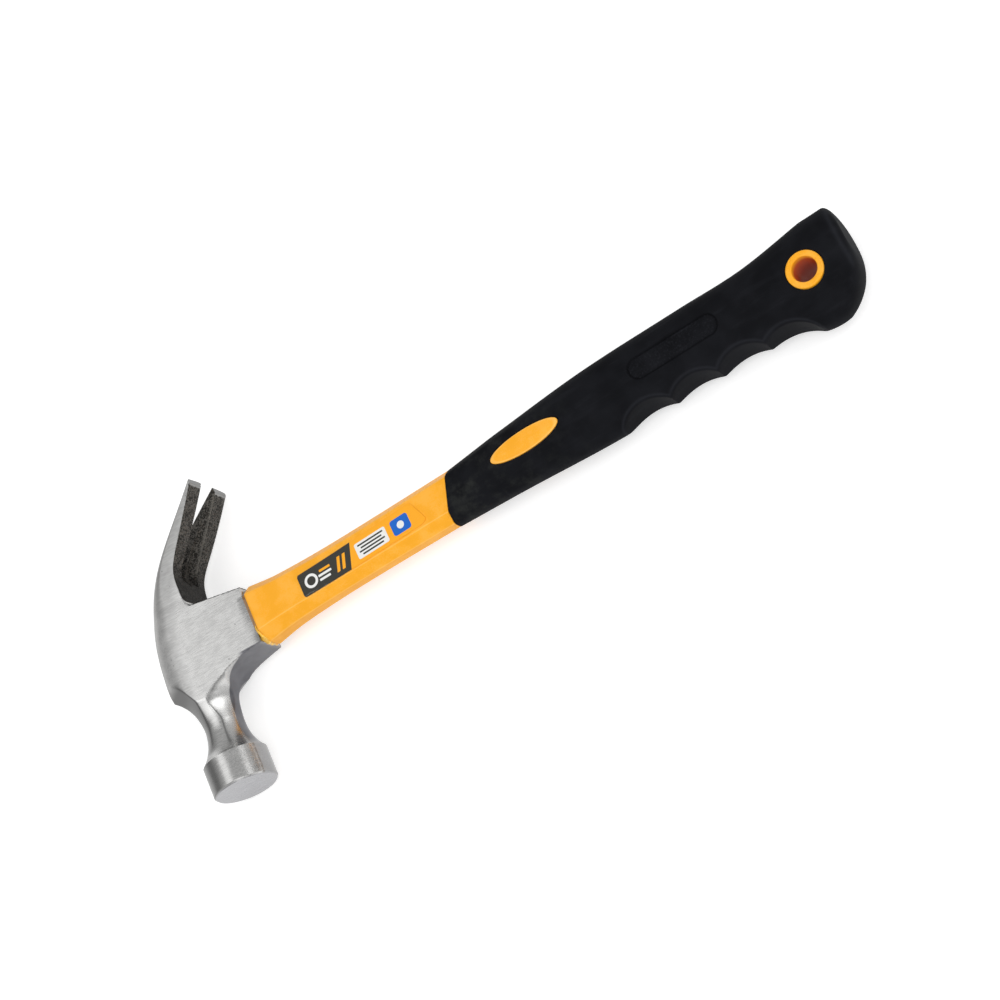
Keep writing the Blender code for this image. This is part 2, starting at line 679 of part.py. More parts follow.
def grip_outline(x, grow):
    """Outline in y and z: the jacket's octagon at the front, a rounded section further back."""
    front = JACKET_REAR[0] + GRIP_PROUD
    stations = ((GRIP_FRONT_X, front, -front, JACKET_REAR[1] + GRIP_PROUD),) + GRIP_SECTIONS
    claw_side, bell_side, half_z = smooth_track(stations, x)
    claw_side += grow - quarter_drop(x, GRIP_END_X, BUTT_TOP_ROUND)
    bell_side += quarter_drop(x, GRIP_END_X, BUTT_LOW_ROUND) - grow
    half_z += grow - quarter_drop(x, GRIP_END_X, BUTT_SIDE_ROUND)
    half_y = (claw_side - bell_side) / 2
    middle = (claw_side + bell_side) / 2
    softness = min(1.0, (x - GRIP_FRONT_X) / (GRIP_SECTIONS[1][0] - GRIP_FRONT_X))
    butt_fade = min(1.0, (GRIP_END_X - x) / (GRIP_END_X - GRIP_SECTIONS[3][0]))
    narrowing = FINGER_NARROWING * softness * butt_fade
    points = []
    for y, z in octagon(half_y, half_z):
        squares = abs(y / half_y) ** GRIP_ROUND_POWER + abs(z / half_z) ** GRIP_ROUND_POWER
        size = squares ** (1 / GRIP_ROUND_POWER)
        scale = 1 + (1 / size - 1) * softness
        points.append((middle + y * scale, z * scale * (1 + narrowing * min(y * scale / half_y, 0.0))))
    return points


def grip_skin(grow):
    """Rings of the grip's outside, leaning at the front and closing round at the butt."""
    body_end = GRIP_END_X - BUTT_LOW_ROUND[0]
    body_steps = 2 * CURVE_STEPS
    places = [GRIP_FRONT_X + (body_end - GRIP_FRONT_X) * i / body_steps for i in range(body_steps)]
    places += [body_end + BUTT_LOW_ROUND[0] * math.sin(math.pi / 2 * i / CURVE_STEPS)
               for i in range(CURVE_STEPS + 1)]
    rings = []
    for x in places:
        lean = GRIP_FRONT_SLANT * max(0.0, 1 - (x - GRIP_FRONT_X) / GRIP_SLANT_FADE)
        rings.append([Vector((x + lean * y, y, z)) for y, z in grip_outline(x, grow)])
    return rings


def cut_finger_grooves(grip):
    for i in range(GROOVE_COUNT):
        ends = []
        for k in (i, i + 1):
            x = GROOVE_START_X + GROOVE_PITCH * k
            drop = LAST_GROOVE_DROP if k == GROOVE_COUNT else 0.0
            ends.append(Vector((x, GROOVE_CREST_Y + GROOVE_CREST_SLOPE * (x - GROOVE_START_X) - drop)))
        chord = ends[1] - ends[0]
        outward = Vector((chord.y, -chord.x)).normalized()
        centre = (ends[0] + ends[1]) / 2 + outward * math.sqrt(GROOVE_RADIUS ** 2 - (chord.length / 2) ** 2)
        outline = ellipse(centre, GROOVE_RADIUS, GROOVE_RADIUS, 96)
        combine(grip, prism(f"finger_groove_{i + 1}", outline, -OVERSIZE, OVERSIZE), "DIFFERENCE")


def inlay_floor():
    return smooth_track(GRIP_SECTIONS, INLAY_X)[2] - INLAY_DEPTH


def make_inlays(grip):
    """Yellow ovals in windows on both sides of the grip, following its surface."""
    skin = cutter("inlay_skin", grip_skin(INLAY_PROUD))
    outline = ellipse((INLAY_X, INLAY_Y), INLAY_HALF_LENGTH, INLAY_HALF_WIDTH)
    window = ellipse((INLAY_X, INLAY_Y), INLAY_HALF_LENGTH + CLEARANCE, INLAY_HALF_WIDTH + CLEARANCE)
    floor = inlay_floor()
    for side, name in ((1, "left"), (-1, "right")):
        heights = (side * floor, side * OVERSIZE)
        inlay = part("grip_inlay_" + name, [[Vector((x, y, z)) for x, y in outline] for z in heights])
        combine(inlay, skin, "INTERSECT")
        hole = prism("inlay_window_" + name, window, side * (floor - CLEARANCE), side * OVERSIZE)
        combine(grip, hole, "DIFFERENCE")


def cut_slot_marks(grip):
    """Shallow slots on both sides of the grip, whose floor follows the surface."""
    floor_skin = cutter("slot_mark_floor", grip_skin(-SLOT_MARK_DEPTH))
    outline = stadium(*SLOT_MARK_X, SLOT_MARK_Y, SLOT_MARK_RADIUS)
    for side, name in ((1, "left"), (-1, "right")):
        mark = prism("slot_mark_" + name, outline, side * TANG_HALF_Z, side * OVERSIZE)
        combine(mark, floor_skin, "DIFFERENCE")
        combine(grip, mark, "DIFFERENCE")


def make_bush(grip):
    centre = (HANG_HOLE_X, HANG_HOLE_Y)
    half = smooth_track(GRIP_SECTIONS, HANG_HOLE_X)[2] + BUSH_PROUD
    outline = ellipse(centre, BUSH_RADIUS, BUSH_RADIUS)
    bush = part("hang_hole_bush", [[Vector((x, y, z)) for x, y in outline] for z in (-half, half)])
    hole = ellipse(centre, HANG_HOLE_RADIUS, HANG_HOLE_RADIUS)
    combine(bush, prism("hang_hole", hole, -OVERSIZE, OVERSIZE), "DIFFERENCE")
    seat = ellipse(centre, BUSH_RADIUS + CLEARANCE, BUSH_RADIUS + CLEARANCE)
    combine(grip, prism("bush_seat", seat, -OVERSIZE, OVERSIZE), "DIFFERENCE")


def make_grip():
    grip = part("rubber_grip", grip_skin(0.0))
    space = octagon(TANG_HALF_Y + CLEARANCE, TANG_HALF_Z + CLEARANCE)
    tang_space = [along_x(GRIP_FRONT_X - OVERSIZE, space), along_x(TANG_END_X + CLEARANCE, space)]
    combine(grip, cutter("tang_space", tang_space), "DIFFERENCE")
    cut_finger_grooves(grip)
    make_inlays(grip)
    cut_slot_marks(grip)
    make_bush(grip)


clear_scene()
parts = new_collection("claw_hammer")
cutters = new_collection("claw_hammer_cutters")
datum = bpy.data.objects.new("handle_datum", None)
datum.location = (-(CROWN_X + GRIP_END_X) / 2, -(FACE_Y + CLAW_TIP[1]) / 2, CLAW_TIP_HALF_WIDTH)
parts.objects.link(datum)
make_head()
rod_space = make_core()
make_epoxy(rod_space)
make_jacket(rod_space)
make_label()
make_grip()
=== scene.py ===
"""Claw hammer: fine surfaces, finishes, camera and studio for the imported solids.

Metres, +Z up. The hammer lies on its side. Shapes are worked out on the handle's own datum, with +X to the
butt, +Y to the claws and z = 0 in the plane of symmetry, and are then carried to the frame's place.
"""

import math

import bpy
import numpy as np
from bpy.props import FloatProperty, FloatVectorProperty, IntProperty, PointerProperty
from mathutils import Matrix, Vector


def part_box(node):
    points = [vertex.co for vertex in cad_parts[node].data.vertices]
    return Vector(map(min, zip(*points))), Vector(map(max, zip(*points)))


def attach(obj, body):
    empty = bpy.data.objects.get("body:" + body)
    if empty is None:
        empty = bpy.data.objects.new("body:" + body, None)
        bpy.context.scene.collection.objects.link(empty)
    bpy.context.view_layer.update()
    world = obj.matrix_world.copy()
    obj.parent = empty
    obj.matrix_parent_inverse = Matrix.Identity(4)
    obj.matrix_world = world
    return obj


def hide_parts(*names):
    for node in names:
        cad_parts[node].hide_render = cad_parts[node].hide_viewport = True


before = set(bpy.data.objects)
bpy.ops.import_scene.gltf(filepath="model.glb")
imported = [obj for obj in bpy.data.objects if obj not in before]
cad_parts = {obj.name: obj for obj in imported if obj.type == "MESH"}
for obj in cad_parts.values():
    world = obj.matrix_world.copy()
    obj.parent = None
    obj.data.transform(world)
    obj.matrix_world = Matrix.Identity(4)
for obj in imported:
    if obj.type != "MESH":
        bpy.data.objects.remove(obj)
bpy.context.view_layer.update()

bl_info = {
    "name": "Claw hammer",
    "version": (1, 0, 0),
    "blender": (4, 5, 0),
    "location": "View3D > Sidebar > Hammer",
    "description": "Builds the surfaces, finishes and studio of a claw hammer over its solids",
    "category": "Object",
}


def length(name, default, description):
    return FloatProperty(name=name, description=description, default=default, unit="LENGTH", precision=5)


def number(name, default, description):
    return FloatProperty(name=name, description=description, default=default)


def place(name, default, description):
    return FloatVectorProperty(name=name, description=description, default=default, size=len(default),
                               unit="LENGTH", precision=5)


def share(name, default, description):
    return FloatProperty(name=name, description=description, default=default, subtype="FACTOR",
                         precision=4)


def colour(name, default, description):
    return FloatVectorProperty(name=name, description=description, default=default, size=3,
                               subtype="COLOR", min=0.0, max=1.0)


class HeadProperties(bpy.types.PropertyGroup):
    """Steel head: sizes on the datum, and colours of its finishes"""

    crown_x: length("Crown", -0.0505, "Top of the head")
    mouth_x: length("Mouth", -0.0013, "Where the handle enters the eye")
    bell_axis_x: length("Bell axis", -0.0347, "Axis of the bell")
    neck_axis_x: length("Neck axis", -0.0337, "Axis of the neck, a little nearer to the handle")
    face_y: length("Face", -0.0604, "Striking face")
    cheek_half: length("Cheek", 0.0116, "Half the thickness of the cheeks at the bell's axis")
    cheek_half_mouth: length("Cheek at the mouth", 0.0085, "Half the thickness of the cheeks at the mouth")
    bell_radius: length("Bell radius", 0.0136, "Radius of the bell")
    bell_length: length("Bell length", 0.0139, "Striking face to rear rim")
    face_chamfer: length("Face chamfer", 0.0008, "Chamfer round the striking face")
    rim_chamfer: length("Rim chamfer", 0.0005, "Chamfer at the rear rim of the bell")
    waist_y: length("Waist", -0.0320, "Thinnest place of the neck")
    waist_apothem: length("Waist apothem", 0.0081, "Centre to flat at the waist")
    flare_power: number("Flare", 2.3, "How late the neck opens to the bell")
    facet_fade: length("Facet fade", 0.0070, "Length over which the flats of the neck fade to round")
    facet_bulge: share("Facet bulge", 0.55, "Bulge of the neck's flats at the waist, from flat to round")
    crown_round: length("Crown round", 0.0115, "Depth of the rounded crown")
    claw_round_root: share("Claw round at the root", 0.55, "Rounded depth over thickness, at the claws' root")
    claw_round_tip: share("Claw round at the tip", 0.35, "Rounded depth over thickness, at the claws' tip")
    crown_start_y: length("Crown start", -0.0120, "Where the crown starts to bend towards the claws")
    crown_pull_y: length("Crown pull", 0.0309, "How far the crown runs straight on")
    claw_bend: place("Claw bend", (-0.0328, 0.0404), "Control point of the outer bend")
    claw_tip: place("Claw tip", (-0.0015, 0.06398), "Outer edge of the claws' tip")
    tip_thickness: length("Tip thickness", 0.0017, "Thickness of the claws at their tip")
    tip_setback: length("Tip set-back", 0.0012, "How far the tip is ground back on its inner side")
    tip_half_width: length("Tip half width", 0.0147, "Half the width over both claws at their tip")
    tip_inner_half: length("Tip inner half width", 0.0142, "The same on the inner face")
    claw_root: place("Claw root", (-0.0252, 0.0210), "Where the inner face of the claws leaves the root")
    claw_inner_pull: length("Inner pull", 0.0165, "How far the inner face runs straight on")
    claw_inner_bend: place("Inner bend", (-0.0239, 0.0316), "Control point of the inner bend")
    root_corner: place("Root corner", (-0.0236, 0.0166), "Inside corner between the claws and the eye's wall")
    eye_wall_y: length("Eye wall", 0.0127, "Claw side of the eye at its mouth")
    channel_half_tip: length("Channel at the tip", 0.0056, "Half width of the claws' channel at the tip")
    channel_half_root: length("Channel at the root", 0.0064, "Half width of the claws' channel at the root")
    channel_wall_slope: share("Channel wall slope", 0.35, "Loss of half width over depth")
    channel_depth: length("Channel depth", 0.0035, "Depth of the channel at most")
    channel_depth_share: share("Channel depth share", 0.70, "Depth over the claws' thickness at most")
    channel_start: share("Channel start", 0.20, "Start of the channel, as a share of the claws' length")
    channel_run_in: share("Channel run-in", 0.20, "Share of the length over which it reaches its depth")
    slot_half_tip: length("Slot half gap", 0.0046, "Half the nail slot's gap at the tip")
    slot_length: length("Slot length", 0.0400, "Length of the nail slot")
    slot_end_radius: length("Slot end", 0.0014, "Radius of the nail slot's inner end")
    eye_half: place("Eye half sizes", (0.0080, 0.0056), "Half sizes of the eye at its mouth")
    eye_taper: length("Eye taper", 0.0009, "Growth of the eye from the mouth to the crown")
    eye_corner: length("Eye corner", 0.0045, "Corner radius of the eye")
    edge_round: length("Edge round", 0.00016, "Softness of the ground edges")
    steps_round: IntProperty(name="Steps round", description="Points in one ring", default=320, min=64)
    steel: colour("Steel", (0.455, 0.453, 0.447), "Ground steel")
    # Steel of the handle side, darker than its own colour: partly painted shade for the handle side and the
    # underside
    tumbled_shaded: colour("Tumbled steel", (0.135, 0.135, 0.146), "Smooth grey steel on the handle side")
    struck: colour("Struck face", (0.26, 0.26, 0.28), "Striking face")
    stain: colour("Stain", (0.085, 0.066, 0.052), "Brown line where the grinding stops")
    scale: colour("Forging scale", (0.054, 0.051, 0.046), "Dark skin that the grinding left")


class HandleProperties(bpy.types.PropertyGroup):
    """Jacket and resin: half sizes along the handle, and colours"""

    gap_to_head: length("Gap to the head", 0.0010, "Mouth of the eye to the jacket's front edge")
    mouth: place("Mouth half sizes", (0.0130, 0.0103), "Half width and half thickness at the mouth")
    neck_x: length("Neck place", 0.0140, "Where the jacket has drawn in")
    neck: place("Neck half sizes", (0.0112, 0.0088), "Half width and half thickness there")
    waist_x: length("Waist place", 0.0420, "Thinnest place of the jacket")
    waist: place("Waist half sizes", (0.0104, 0.0075), "Half width and half thickness there")
    rear: place("Rear half sizes", (0.0106, 0.0079), "Half width and half thickness at the grip")
    shoulder: length("Shoulder", 0.0014, "Radius of the front shoulder")
    flat_share: share("Flat", 0.645, "Broad flat over the whole width")
    edge_share: share("Edge", 0.38, "Narrow edge flat over the whole thickness")
    tang: place("Tang half sizes", (0.0077, 0.0062), "Half sizes of the tang inside the grip")
    tang_end_x: length("Tang end", 0.2490, "Where the tang ends")
    edge_round: length("Edge round", 0.00022, "Softness of the moulded edges")
    plastic: colour("Plastic", (0.960, 0.412, 0.018), "Yellow plastic")
    resin: colour("Resin", (1.0, 0.56, 0.04), "Bead of cast resin at the mouth")
    # Resin colour, darkened as painted shade for the gap between the head and the jacket
    collar: colour("Collar", (0.26, 0.120, 0.022), "Dark resin between the head and the jacket")
    # Pale plastic for rubbed scuffs, and for the painted highlights on edges and rims
    worn: colour("Worn plastic", (1.0, 0.57, 0.15), "Plastic where it is rubbed")


class GripProperties(bpy.types.PropertyGroup):
    """Rubber grip with its grooves, slot, inlays and hang hole"""

    front_x: length("Front", 0.0956, "Front edge of the rubber")
    front_slant: share("Slant", 0.33, "Lean of the front edge, x per y")
    slant_fade: length("Slant fade", 0.0240, "Length over which the lean fades")
    proud: length("Proud", 0.0003, "Rubber over the jacket at the front edge")
    end_x: length("Butt", 0.2795, "End of the butt")
    round_power: number("Roundness", 2.5, "Power of the section: 2 is an ellipse, higher is squarer")
    finger_narrowing: share("Finger side", 0.28, "Loss of thickness where the fingers close")
    butt_top_round: place("Butt claw side", (0.0036, 0.0085), "Rounding of the butt on the claw side")
    butt_low_round: place("Butt bell side", (0.0250, 0.0235), "Rounding of the butt on the bell side")
    butt_side_round: place("Butt sides", (0.0050, 0.0040), "Rounding of the butt on the broad sides")
    groove_count: IntProperty(name="Grooves", description="Finger grooves", default=4, min=1)
    groove_start_x: length("First crest", 0.1717, "Place of the first crest")
    groove_pitch: length("Groove pitch", 0.0207, "Crest to crest")
    groove_radius: length("Groove radius", 0.0172, "Radius of a finger groove")
    groove_round: length("Groove rim", 0.00040, "Softness of the grooves' rims")
    crest_y: length("Crest", -0.0131, "Depth of the first crest")
    crest_slope: number("Crest slope", -0.024, "Crest y per x")
    last_drop: length("Last groove drop", 0.0044, "Lean of the last groove into the flare of the butt")
    slot_x: place("Slot ends", (0.1875, 0.2185), "Centres of the round ends of the shallow slot")
    slot_y: length("Slot place", 0.0014, "Middle of the shallow slot")
    slot_radius: length("Slot radius", 0.0043, "Half width of the shallow slot")
    slot_depth: length("Slot depth", 0.0006, "Depth of the shallow slot")
    inlay_centre: place("Inlay centre", (0.1338, 0.0011), "Middle of the oval inlay")
    inlay_half: place("Inlay half sizes", (0.0160, 0.0043), "Half length and half width of the oval inlay")
    inlay_proud: length("Inlay proud", 0.0003, "Inlay over the rubber")
    inlay_depth: length("Inlay depth", 0.0020, "Thickness of the inlay at its middle")
    hole_centre: place("Hang hole", (0.2610, -0.0004), "Axis of the hang hole")
    hole_radius: length("Hole radius", 0.0050, "Radius of the hang hole")
    bush_radius: length("Bush radius", 0.0075, "Outer radius of the bush")
    bush_proud: length("Bush proud", 0.0004, "Bush over the rubber")
    bush_round: length("Bush round", 0.0007, "Rounding of the bush's rims")
    clearance: length("Clearance", 0.0003, "Gap round the inlays and the bush")
    crease_round: length("Crease round", 0.0006, "Softness of the creases taken over from the jacket")
    rubber: colour("Rubber", (0.0082, 0.0086, 0.0104), "Black rubber")
    dust: colour("Dust", (0.034, 0.036, 0.033), "Dust rubbed into the front of the grip")
    bore: colour("Bore", (0.62, 0.110, 0.022), "Shaded plastic inside the hang hole")


class LabelProperties(bpy.types.PropertyGroup):
    """Printed film: corners on the broad flat, and inks"""

    front_high: place("Front, claw side", (0.0236, 0.0034), "Front corner on the claw side")
    front_low: place("Front, bell side", (0.0236, -0.0066), "Front corner on the bell side")
    rear_low: place("Rear, bell side", (0.0815, -0.0056), "Rear corner on the bell side")
    rear_nose: place("Rear nose", (0.0838, -0.0042), "Furthest corner")
    rear_high: place("Rear, claw side", (0.0796, 0.0054), "Rear corner on the claw side")
    corner_radius: length("Corner", 0.0012, "Set-back of the rounded corners")
    thickness: length("Thickness", 0.0002, "Thickness of the film")
    gap: length("Gap", 0.0001, "Film over the jacket")
    film: colour("Film", (0.960, 0.405, 0.018), "Bare film")
    panel: colour("Panel", (0.040, 0.040, 0.034), "Dark ink")
    paper: colour("Pale ink", (0.82, 0.82, 0.80), "Pale ink")
    tag: colour("Tag", (0.012, 0.130, 0.560), "Blue ink")


class StageProperties(bpy.types.PropertyGroup):
    """Camera, floor and lamps; places of lamps are in the frame"""

    camera_place: place("Camera", (0.382745, -0.378169, 0.862525), "Place from the handle's datum")
    camera_turn: FloatVectorProperty(name="Camera turn", description="Euler angles of the camera", size=3,
                                     default=(0.224422, 0.435714, -0.439890), subtype="EULER")
    lens: number("Lens", 89.895, "Focal length in millimetres on a 36 mm sensor")
    floor: colour("Floor", (0.80, 0.80, 0.80), "Floor under the hammer")
    floor_lift: share("Floor lift", 0.46, "Glow that brings the lit floor to white")
    fill: share("Fill", 0.63, "Even light from all round")
    key_place: place("Softbox", (-0.58, -0.04, 1.18), "Place of the long softbox over the crown")
    key: number("Softbox radiance", 1.08, "Brightness of the long softbox")
    strip_place: place("Strip", (0.25, -0.25, 1.20), "Place of the strip over the handle")
    strip: number("Strip radiance", 2.2, "Brightness of the strip")
    side_place: place("Side softbox", (0.77, -0.05, 0.635), "Place of the softbox past the butt")
    side: number("Side radiance", 2.3, "Brightness of the side softbox")
    front_place: place("Front fill", (0.20, -1.10, 0.75), "Place of the softbox on the bell side")
    front: number("Front radiance", 1.2, "Brightness of the front softbox")


# Sections of the grip: place along x, claw side and bell side in y, half thickness in z
GRIP_SECTIONS = np.array((
    (0.1250, 0.0134, -0.0122, 0.0099),
    (0.1650, 0.0164, -0.0145, 0.0118),
    (0.2100, 0.0170, -0.0150, 0.0125),
    (0.2380, 0.0172, -0.0164, 0.0127),
    (0.2660, 0.0214, -0.0234, 0.0127),
))


# Arrays and meshes

def smooth_track(stations, x):
    """Smooth cubic through (x, values...) rows, level past the ends, for all x at once."""
    stations = np.asarray(stations, float)
    places = stations[:, 0]
    values = stations[:, 1:]
    slopes = np.empty_like(values)
    slopes[1:-1] = (values[2:] - values[:-2]) / (places[2:] - places[:-2])[:, None]
    slopes[0] = (values[1] - values[0]) / (places[1] - places[0])
    slopes[-1] = (values[-1] - values[-2]) / (places[-1] - places[-2])
    x = np.clip(x, places[0], places[-1])
    i = np.clip(np.searchsorted(places, x, side="right") - 1, 0, len(places) - 2)
    span = (places[i + 1] - places[i])[:, None]
    t = ((x - places[i]) / (places[i + 1] - places[i]))[:, None]
    return ((2 * t ** 3 - 3 * t ** 2 + 1) * values[i] + (t ** 3 - 2 * t ** 2 + t) * slopes[i] * span
            + (3 * t ** 2 - 2 * t ** 3) * values[i + 1] + (t ** 3 - t ** 2) * slopes[i + 1] * span).T


def bezier(start, pull, bend, end, t):
    """Cubic through two ends with two control points, weighted s^3, 3s^2t, 3st^2 and t^3, where s = 1 - t."""
    t = np.asarray(t, float)[:, None]
    s = 1 - t
    start, pull, bend, end = (np.asarray(point, float) for point in (start, pull, bend, end))
    return s ** 3 * start + 3 * s ** 2 * t * pull + 3 * s * t ** 2 * bend + t ** 3 * end


def soft_min(values, softness):
    """Smooth minimum over the first axis: -softness * log(sum of exp(-value / softness))."""
    lowest = values.min(axis=0)
    return lowest - softness * np.log(np.exp((lowest - values) / softness).sum(axis=0))


def soft_max(a, b, softness):
    """Smooth maximum: minus the smooth minimum of the negatives."""
    return -soft_min(np.stack(np.broadcast_arrays(-a, -b)), softness)


def soft_step(low, high, value):
    """Smooth step from 0 at low to 1 at high, 3t^2 - 2t^3; it falls where high is under low."""
    t = np.clip((value - low) / (high - low), 0, 1)
    return t * t * (3 - 2 * t)


def soft_band(value, middle, width):
    """Soft band: exp(-((value - middle) / width)^2)."""
    return np.exp(-((value - middle) / width) ** 2)


def ray_length(distance, facing):
    """Length of a ray to a plane at a distance, from the cosine between the ray and the plane's normal."""
    return np.where(facing > 0.02, distance / np.maximum(facing, 0.02), 1.0)


def ring_angles(count, crowding=0.6):
    """Angles round a ring, crowded at +Z and -Z, where thin sections have their edges."""
    t = np.arange(count) / count
    return 2 * np.pi * t + crowding / 2 * np.sin(4 * np.pi * t)


def circle_angles(count):
    return 2 * np.pi * np.arange(count) / count


def ellipse(centre, half_x, half_y, turn):
    """Ellipse in x and y: centre + (half_x * cos, half_y * sin)."""
    return np.column_stack((centre[0] + half_x * np.cos(turn), centre[1] + half_y * np.sin(turn)))


def distance_to(points, line):
    """Distance in x and y from each point to the nearest point of a line, and that point's index."""
    squares = ((points[:, None, :2] - line[None]) ** 2).sum(axis=-1)
    return np.sqrt(squares.min(axis=1)), squares.argmin(axis=1)


def datum():
    """Place of the handle's datum in the frame, from the box of the head's solid."""
    low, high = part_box("hammer_head")
    head = bpy.context.scene.hammer_head
    return np.array((low.x - head.crown_x, low.y - head.face_y, (low.z + high.z) / 2))


def mesh_object(name, points, faces, sharp_angle=30.0, attributes=None):
    """Object from points and faces on the datum, turned to face outwards, with creases past an angle."""
    mesh = bpy.data.meshes.new(name)
    mesh.from_pydata(points + datum(), [], faces)
    for label, values in (attributes or {}).items():
        mesh.attributes.new(label, "FLOAT", "POINT").data.foreach_set("value", values.ravel())
    if signed_volume(mesh) < 0:
        mesh.flip_normals()
    mesh.shade_smooth()
    mesh.set_sharp_from_angle(angle=math.radians(sharp_angle))
    obj = bpy.data.objects.new(name, mesh)
    bpy.context.scene.collection.objects.link(obj)
    return obj


def signed_volume(mesh):
    """Six times the volume: the sum of a . (b x c) over the triangles, negative where they face inwards."""
    mesh.calc_loop_triangles()
    corners = np.empty(len(mesh.loop_triangles) * 3, np.int32)
    mesh.loop_triangles.foreach_get("vertices", corners)
    points = np.empty(len(mesh.vertices) * 3, np.float32)
    mesh.vertices.foreach_get("co", points)
    a, b, c = points.reshape(-1, 3)[corners.reshape(-1, 3)].astype(float).transpose(1, 0, 2)
    return np.einsum("ij,ij->i", a - points[:3], np.cross(b - points[:3], c - points[:3])).sum()


def tube_faces(rows, count, first=0):
    """Quads of a closed tube of rings, and a fan at each end to a pole that follows the last ring."""
    index = first + np.arange(rows * count).reshape(rows, count)
    following = np.roll(index, -1, axis=1)
    quads = np.stack((index[:-1], following[:-1], following[1:], index[1:]), axis=-1).reshape(-1, 4)
    start_pole = first + rows * count
    starts = np.stack((following[0], index[0], np.full(count, start_pole)), axis=-1)
    ends = np.stack((index[-1], following[-1], np.full(count, start_pole + 1)), axis=-1)
    return quads.tolist() + starts.tolist() + ends.tolist()


def tube_object(name, rings, sharp_angle=30.0, attributes=None):
    """Closed object from an array of rings (rows, points, 3), with a flat or domed fan at both ends."""
    rows, count, _ = rings.shape
    points = np.concatenate((rings.reshape(-1, 3), rings[:1].mean(axis=1), rings[-1:].mean(axis=1)))
    padded = {label: np.concatenate((values.ravel(), (values[0].mean(), values[-1].mean())))
              for label, values in (attributes or {}).items()}
    return mesh_object(name, points, tube_faces(rows, count), sharp_angle, padded)


def prism_object(name, outline, low, high, across):
    """Closed prism of an outline (points, 2): across turns the outline and a height into x, y and z."""
    rings = np.stack([across(outline, height) for height in (low, high)])
    return tube_object(name, rings)


def upright(outline, height):
    """Outline in x and y, set at a height in z."""
    return np.column_stack((outline, np.full(len(outline), height)))


def carve(obj, cutters, sharp_angle=30.0):
    """Cut closed objects out of a piece and keep the result; cut faces take the cutters' finishes."""
    for cutter in cutters:
        modifier = obj.modifiers.new(cutter.name, "BOOLEAN")
        modifier.operation = "DIFFERENCE"
        modifier.material_mode = "TRANSFER" if cutter.data.materials else "INDEX"
        modifier.object = cutter
    bpy.context.view_layer.update()
    cut = bpy.data.meshes.new_from_object(obj.evaluated_get(bpy.context.evaluated_depsgraph_get()))
    obj.modifiers.clear()
    obj.data = cut
    cut.name = obj.name
    for cutter in cutters:
        bpy.data.objects.remove(cutter)
    cut.shade_smooth()
    cut.set_sharp_from_angle(angle=math.radians(sharp_angle))


def finish_piece(obj, materials, slot, *nodes):
    """Give a piece the finishes that it lacks, hang it on the root body, and hide the imported solids that it
    stands for.
    """
    for material in materials:
        if material.name not in obj.data.materials:
            obj.data.materials.append(material)
    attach(obj, "root")
    if nodes:
        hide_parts(*nodes)


# Head

ROOT_T = 0.33  # place on the crown's curve that lies across from the claws' root


def bell_rim(head):
    """Rear rim of the bell in y."""
    return head.face_y + head.bell_length


def neck_top(head):
    """Where the neck has climbed into the body on the handle side, in y."""
    return head.waist_y + neck_families(head)[0][0]


def neck_axis(head, y):
    """Axis of bell and neck in x: straight over the flare, from the bell's axis to the neck's."""
    over_flare = np.clip((y - bell_rim(head)) / (head.waist_y - bell_rim(head)), 0, 1)
    return head.bell_axis_x + (head.neck_axis_x - head.bell_axis_x) * over_flare


def neck_families(head):
    """Rows of the neck's flats: height over the waist, distance from the axis, early gain, power."""
    return (
        (0.0196, head.mouth_x - head.neck_axis_x, 0.0052, 12.0),
        (0.0162, 0.0178, 0.0, 4.0),
        (0.0110, head.cheek_half, 0.0, 1.7),
        (0.0200, 0.0142, 0.0, 1.7),
        (0.0182, head.neck_axis_x - head.crown_x, 0.0, 2.6),
    )


def neck_distances(head, over_waist):
    """Distances of the five families of flats over the waist: apothem + early * h^1.2 + rest * h^power."""
    distances = []
    for height, distance, early, power in neck_families(head):
        part = np.maximum(over_waist, 0) / height
        gain = early * part ** 1.2 + (distance - head.waist_apothem - early) * part ** power
        distances.append(np.minimum(head.waist_apothem + gain, distance + 0.02))
    underside, underside_corner, cheek, crown_corner, crown = distances
    return np.stack((underside, underside_corner, cheek, crown_corner, crown,
                     crown_corner, cheek, underside_corner), axis=1)


def neck_radius(head, y, angles):
    """Bell and neck as a radius round their axis: soft minimum of eight flats, mixed to a circle at the bell.

    A flat at distance d bulges to d * (b + (1 - b) / cos(angle from its middle)), and is flat where b is 0.
    """
    rim_y = bell_rim(head)
    below = np.clip((head.waist_y - y) / (head.waist_y - rim_y), 0, 1)
    rim_radius = head.bell_radius - head.rim_chamfer
    turned = head.waist_apothem + (rim_radius - head.waist_apothem) * below ** head.flare_power
    bell = np.interp(y, (head.face_y, head.face_y + head.face_chamfer, rim_y - head.rim_chamfer, rim_y),
                     (head.bell_radius - head.face_chamfer, head.bell_radius, head.bell_radius, rim_radius))
    turned = np.where(y < rim_y, bell, turned)
    over_waist = y - head.waist_y
    distances = np.where(over_waist[:, None] > 0, neck_distances(head, over_waist), turned[:, None])
    facing = np.cos(angles[None, :] - np.radians(45.0 * np.arange(8))[:, None])
    bulge_height = 0.014
    bulge = head.facet_bulge * np.clip(1 - over_waist / bulge_height, 0, 1)[None, :, None]
    planes = ray_length(distances.T[:, :, None], facing[:, None, :])
    flats = soft_min(planes + bulge * (distances.T[:, :, None] - planes), head.edge_round)
    roundness = np.clip((rim_y + 1.5 * head.facet_fade - y) / head.facet_fade, 0, 1)[:, None]
    return flats + (turned[:, None] - flats) * roundness


